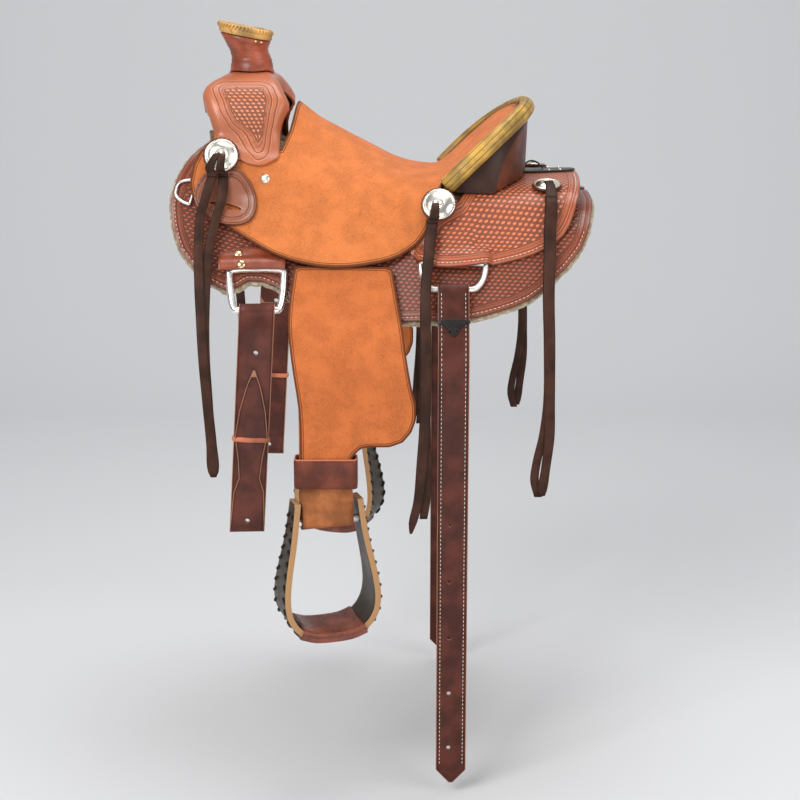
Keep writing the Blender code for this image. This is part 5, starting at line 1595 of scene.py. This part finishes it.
# Fenders, leathers and stirrups
def fender_outline():
    """The fender's pattern, from the fold at its top to the strip that the hobble holds."""
    lift = FENDER_UNDER + FENDER / 2

    def level(x, z):
        return x, girth_at_height(x, z, lift)

    top = [level(x, FOLD_Z - 0.0015) for x in (-0.16, -0.13, -0.09, -0.05, -0.012)]
    front = mm((-167, 310), (-167, 345), (-163, 372), (-157, 405), (-152, 440), (-150, 475))
    rear = mm((-66, 500), (-60, 492), (-46, 488), (-15, 487), (4, 480), (17, 465), (24, 446), (24, 423),
              (18, 400), (9, 356), (3, 316), (-4, 276))
    foot = HOBBLE_FOOT + 0.012
    return fair(
        [top[0]] + front + [level(-0.15, HOBBLE_TOP), level(-0.15, foot)],
        [level(-0.15, foot), level(-0.072, foot)],
        [level(-0.072, foot), level(-0.072, HOBBLE_TOP + 0.004)],
        [level(-0.072, HOBBLE_TOP + 0.004)] + rear + [top[-1]],
        top[::-1],
    )


def twist(point, side):
    """Turns the foot of the leathers, and the stirrup under it, to face forwards."""
    share = smooth((HOBBLE_FOOT - point.z) / 0.035)
    centre = Matrix.Translation((LEG_X, side * BOLT_Y, 0))
    return centre @ Matrix.Rotation(-side * STIRRUP_TURN * share, 4, "Z") @ centre.inverted() @ point


def fenders():
    """Fenders, stirrup leathers, hobbles and stirrups on both sides."""
    outline = even(fender_outline(), 0.007, closed=True)
    for name, side in SIDES:
        body = f"leathers_{name}"
        place = over_form(lambda x, g: FENDER_UNDER, FENDER, side)
        leather(f"rough_out_fender_{name}", outline, place, body, FENDER_SUEDE,
                [f"fender_{name}"])
        x0, x1 = LEG_X - LEG_WIDTH / 2, LEG_X + LEG_WIDTH / 2
        upper = [(x, girth_at_height(x, z, LEATHER_UNDER + LEATHERS / 2)) for x, z in (
            (x0, -0.03), (x1, -0.03), (x1, FOLD_Z + 0.0015), (x0, FOLD_Z + 0.0015))]
        place = over_form(lambda x, g: LEATHER_UNDER, LEATHERS, side)
        leather(f"leathers_top_{name}", even(upper, 0.008, closed=True), place, "saddle", SUEDE_STRAP,
                [f"upper_leather_{name}"], 0.01)
        leathers(name, side, x0, x1)
        hobble(name, side, x0, x1)
        stirrup(name, side)


def leathers(name, side, x0, x1):
    """Down behind the fender, round the stirrup bolt and up inside."""
    shares = [x0 + (x1 - x0) * k / 8 for k in range(9)]
    middle = LEATHER_UNDER + LEATHERS / 2
    rows = []
    for z in spaced(-0.095, HOBBLE_TOP, 0.012):
        rows.append([on_form(x, side * girth_at_height(x, z, middle), LEATHER_UNDER + lift)
                     for lift, line in ((0, shares), (LEATHERS, shares[::-1])) for x in line])
    outer = HANG_Y + LEATHER_UNDER + LEATHERS
    inner = outer - PLY
    down = [-0.38, -0.39, -0.4, -0.408, -0.416, -0.424, -0.432, -0.44]
    loop = [((inner, z), (outer, z)) for z in down]
    for k in range(17):
        y, z = math.cos(math.pi * k / 16), -math.sin(math.pi * k / 16)
        loop.append([(BOLT_Y + r * y, BOLT_Z + r * z) for r in (LOOP, LOOP + PLY)])
    loop += [((2 * BOLT_Y - inner, z), (2 * BOLT_Y - outer, z)) for z in down[:2:-1] + [-0.402]]
    for near, far in loop:
        rows.append([twist(Vector((x, side * y, z)), side)
                     for (y, z), line in ((near, shares), (far, shares[::-1])) for x in line])
    dress(skin(f"stirrup_strap_{name}", rows), f"leathers_{name}", SUEDE_STRAP,
          [f"stirrup_leather_{name}"])


def hobble(name, side, x0, x1):
    """The strap round the fender and the leathers above the stirrup."""
    corner = 0.004
    low_x, high_x = x0 - 0.0005, x1 + 0.0005
    low_y = 2 * BOLT_Y - (HANG_Y + LEATHER_UNDER + LEATHERS) + 0.0015 + corner
    high_y = HANG_Y + FENDER_UNDER + FENDER + 0.0008 - corner

    def loop(out, z):
        made = []
        for x, y, start in ((high_x, high_y, 0), (low_x, high_y, 90), (low_x, low_y, 180),
                            (high_x, low_y, 270)):
            for across, deep in arc((x, y), corner + out, start, start + 90, 6):
                made.append(Vector((across, side * deep, z)))
        return made

    section = [(0.0, HOBBLE_TOP), (0.0022, HOBBLE_TOP), (0.0033, HOBBLE_TOP - 0.001),
               (0.0036, HOBBLE_TOP - 0.006), (0.0036, HOBBLE_FOOT + 0.006), (0.0033, HOBBLE_FOOT + 0.001),
               (0.0022, HOBBLE_FOOT), (0.0, HOBBLE_FOOT)]
    strap = skin(f"hobble_band_{name}", [loop(*s) for s in section], closed_along=True)
    dress(strap, f"leathers_{name}", HOBBLE_LEATHER, [f"hobble_strap_{name}"])
    cords(f"hobble_edge_{name}", [loop(0.0018, HOBBLE_TOP + 0.0002)], 0.0013, SALMON, f"leathers_{name}",
          closed=True)


STIRRUP_SIDE = ((0.035, 0.049, 0.034), (0.012, 0.0515, 0.036), (-0.03, 0.0575, 0.044),
                (-0.07, 0.066, 0.056), (-0.105, 0.0715, 0.068), (-0.13, 0.071, 0.074),
                (-0.15, 0.064, STIRRUP_DEPTH), (-0.166, 0.05, STIRRUP_DEPTH),
                (-0.173, 0.032, STIRRUP_DEPTH), (-0.175, 0.015, STIRRUP_DEPTH))


def stirrup(name, side):
    """One stirrup, bent from a strip that widens to the foot rest."""
    base = Matrix.Translation((LEG_X, side * BOLT_Y, BOLT_Z))
    base = base @ Matrix.Rotation(-side * STIRRUP_TURN, 4, "Z") @ Matrix.Rotation(math.radians(-90), 4, "Z")
    body = f"stirrup_{name}"
    half = [(-x, z, w) for z, x, w in STIRRUP_SIDE]
    fine = even(rounded(half + [(-x, z, w) for x, z, w in half[::-1]]), 0.004)
    at, run = along_path([(x, z) for x, z, _ in fine])
    knots = [(s, w) for s, (_, _, w) in zip(run, fine)]

    def wide(s):
        return through(knots, s)

    outline = mirrored([(wide(s) / 2, s) for s in spaced(0.0, run[-1], 0.006)])

    def place(a, s, face):
        here, normal = at(s)
        p = here + normal * STIRRUP_PLY * (face - 0.5)
        return base @ Vector((a, p.x, p.y))

    leather(f"leathered_stirrup_{name}", outline, place, body, BRONZE, [body],
            0.007, 0.0016)
    laces = []
    for sign in (-1, 1):
        for s in spaced(0.02, run[-1] - 0.02, LACING_PITCH):
            laces.append([place(sign * (wide(s) / 2 - inward), s + along, face) for inward, along, face in (
                (0.0095, 0.0, -0.02), (0.008, 0.002, -0.16), (0.003, 0.006, -0.16),
                (0.0008, 0.008, 0.02))])
    cords(f"stirrup_lacing_{name}", laces, 0.0018, BLACK, body, ends=0.9)
    tread(name, base, body)


def tread(name, base, body):
    """The leather wrapped round the foot rest."""
    stations = [(-x, z) for z, x, _ in STIRRUP_SIDE if z < -0.16]
    line = even(rounded(stations + [(-x, z) for x, z in stations[::-1]]), 0.004)
    thick = STIRRUP_PLY + 2 * (FIT + 0.0005 + TREAD_WRAP)
    section = band(STIRRUP_DEPTH + 2 * (TREAD_WRAP + 0.0008), thick, 28, (0.3, 0.3))
    at, run = along_path(line)
    rows = []
    for s in spaced(0.0, run[-1], 0.004):
        here, normal = at(s)
        rows.append([base @ Vector((a, *(here + normal * out))) for a, out in section])
    dress(skin(f"tread_wrap_{name}", rows), body, TREAD_LEATHER, [f"stirrup_tread_{name}"])


def ridge_lacing():
    """The dark strap that ties the two rear jockeys together behind the cantle."""

    def place(x, g, face):
        return on_form(x, g, jockey_under(x, g) + JOCKEY + 0.0003 + 0.003 * face)

    outline = fair(mm((182, 25), (215, 24), (262, 18), (276, 14), (281, 0), (276, -14), (262, -18),
                      (215, -24), (182, -25)),
                   [(0.182, -0.025), (0.182, 0.025)], step=0.01)
    leather("ridge_strap", outline, place, "saddle", BLACK)
    for name, side in SIDES:
        for k, (x, g) in enumerate(RIDGE_STUDS):
            spot = surface_frame(x, side * g, lambda x, g: place(x, g, 1.0))
            screw(f"ridge_stud_{name}_{k + 1}", spot, STUD, SILVER)
    loop = [place(x, 0.004, 1.0) + Vector((0, 0, up)) for x, up in (
        (0.196, 0.0), (0.202, 0.01), (0.212, 0.014), (0.222, 0.01), (0.23, 0.0))]
    cords("ridge_lace", [even(rounded(loop), 0.003)], 0.0013, BLACK, "saddle")


def plain_nodes():
    """The hard pieces that need only a material."""
    kept = {"tree_fork": TREE, "tree_cantle": TREE, "horn_core": TREE, "ground_seat": TREE}
    for name, _ in SIDES:
        kept[f"tree_bar_{name}"] = TREE
        kept[f"stirrup_bolt_{name}"] = STEEL
    for node, mat in kept.items():
        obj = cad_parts[node]
        obj.data.materials.clear()
        obj.data.materials.append(mat)
        for polygon in obj.data.polygons:
            polygon.use_smooth = True


def studio():
    """Camera at the photograph's angle, a pale floor and backdrop, and soft lamps."""
    cam = bpy.data.cameras.new("camera")
    cam.sensor_width = 36
    cam.lens = LENS
    eye = link("camera", cam)
    eye.location = CAMERA
    eye.rotation_euler = (math.pi / 2 - CAMERA_DOWN, 0, 0)
    bpy.context.scene.camera = eye
    low = CAD_BOX[0].z - 0.02
    mesh = bpy.data.meshes.new("floor")
    cove = arc((WALL_Y, low + COVE), COVE, -90, 0, 12)
    rows = [(-6, low), (WALL_Y, low)] + cove + [(WALL_Y + COVE, low + 5)]
    points = [(x, y, z) for y, z in rows for x in (-7, 7)]
    mesh.from_pydata(points, [], [(2 * k, 2 * k + 1, 2 * k + 3, 2 * k + 2) for k in range(len(rows) - 1)])
    mesh.shade_smooth()
    floor = link("floor", mesh)
    paint = Nodes("backdrop", (0.8, 0.8, 0.8), 0.9)
    behind = paint.make("NewGeometry", {}, {}).outputs["Backfacing"]
    clear = paint.make("BsdfTransparent", {}, {}).outputs[0]
    mixed = paint.make("MixShader", {}, {0: behind, 1: paint.shader.outputs[0], 2: clear})
    paint.put(paint.tree.nodes["Material Output"].inputs[0], mixed.outputs[0])
    mesh.materials.append(paint.mat)
    for label, at, size, power in LAMPS:
        lamp = bpy.data.lights.new(label, "AREA")
        lamp.size = size
        lamp.energy = power
        obj = link(label, lamp)
        obj.location = at
        obj.rotation_euler = (AIM - Vector(at)).to_track_quat("-Z", "Y").to_euler()
    world = bpy.data.worlds.new("world")
    bpy.context.scene.world = world
    world.use_nodes = True
    world.node_tree.nodes["Background"].inputs[0].default_value = (0.9, 0.93, 1.0, 1.0)
    world.node_tree.nodes["Background"].inputs[1].default_value = 0.35
    bpy.context.scene.view_settings.view_transform = "Standard"


skirts()
jockeys()
fork_cover()
horn()
seat()
cantle_trim()
conchos()
strings()
rigging()
fenders()
ridge_lacing()
plain_nodes()
studio()
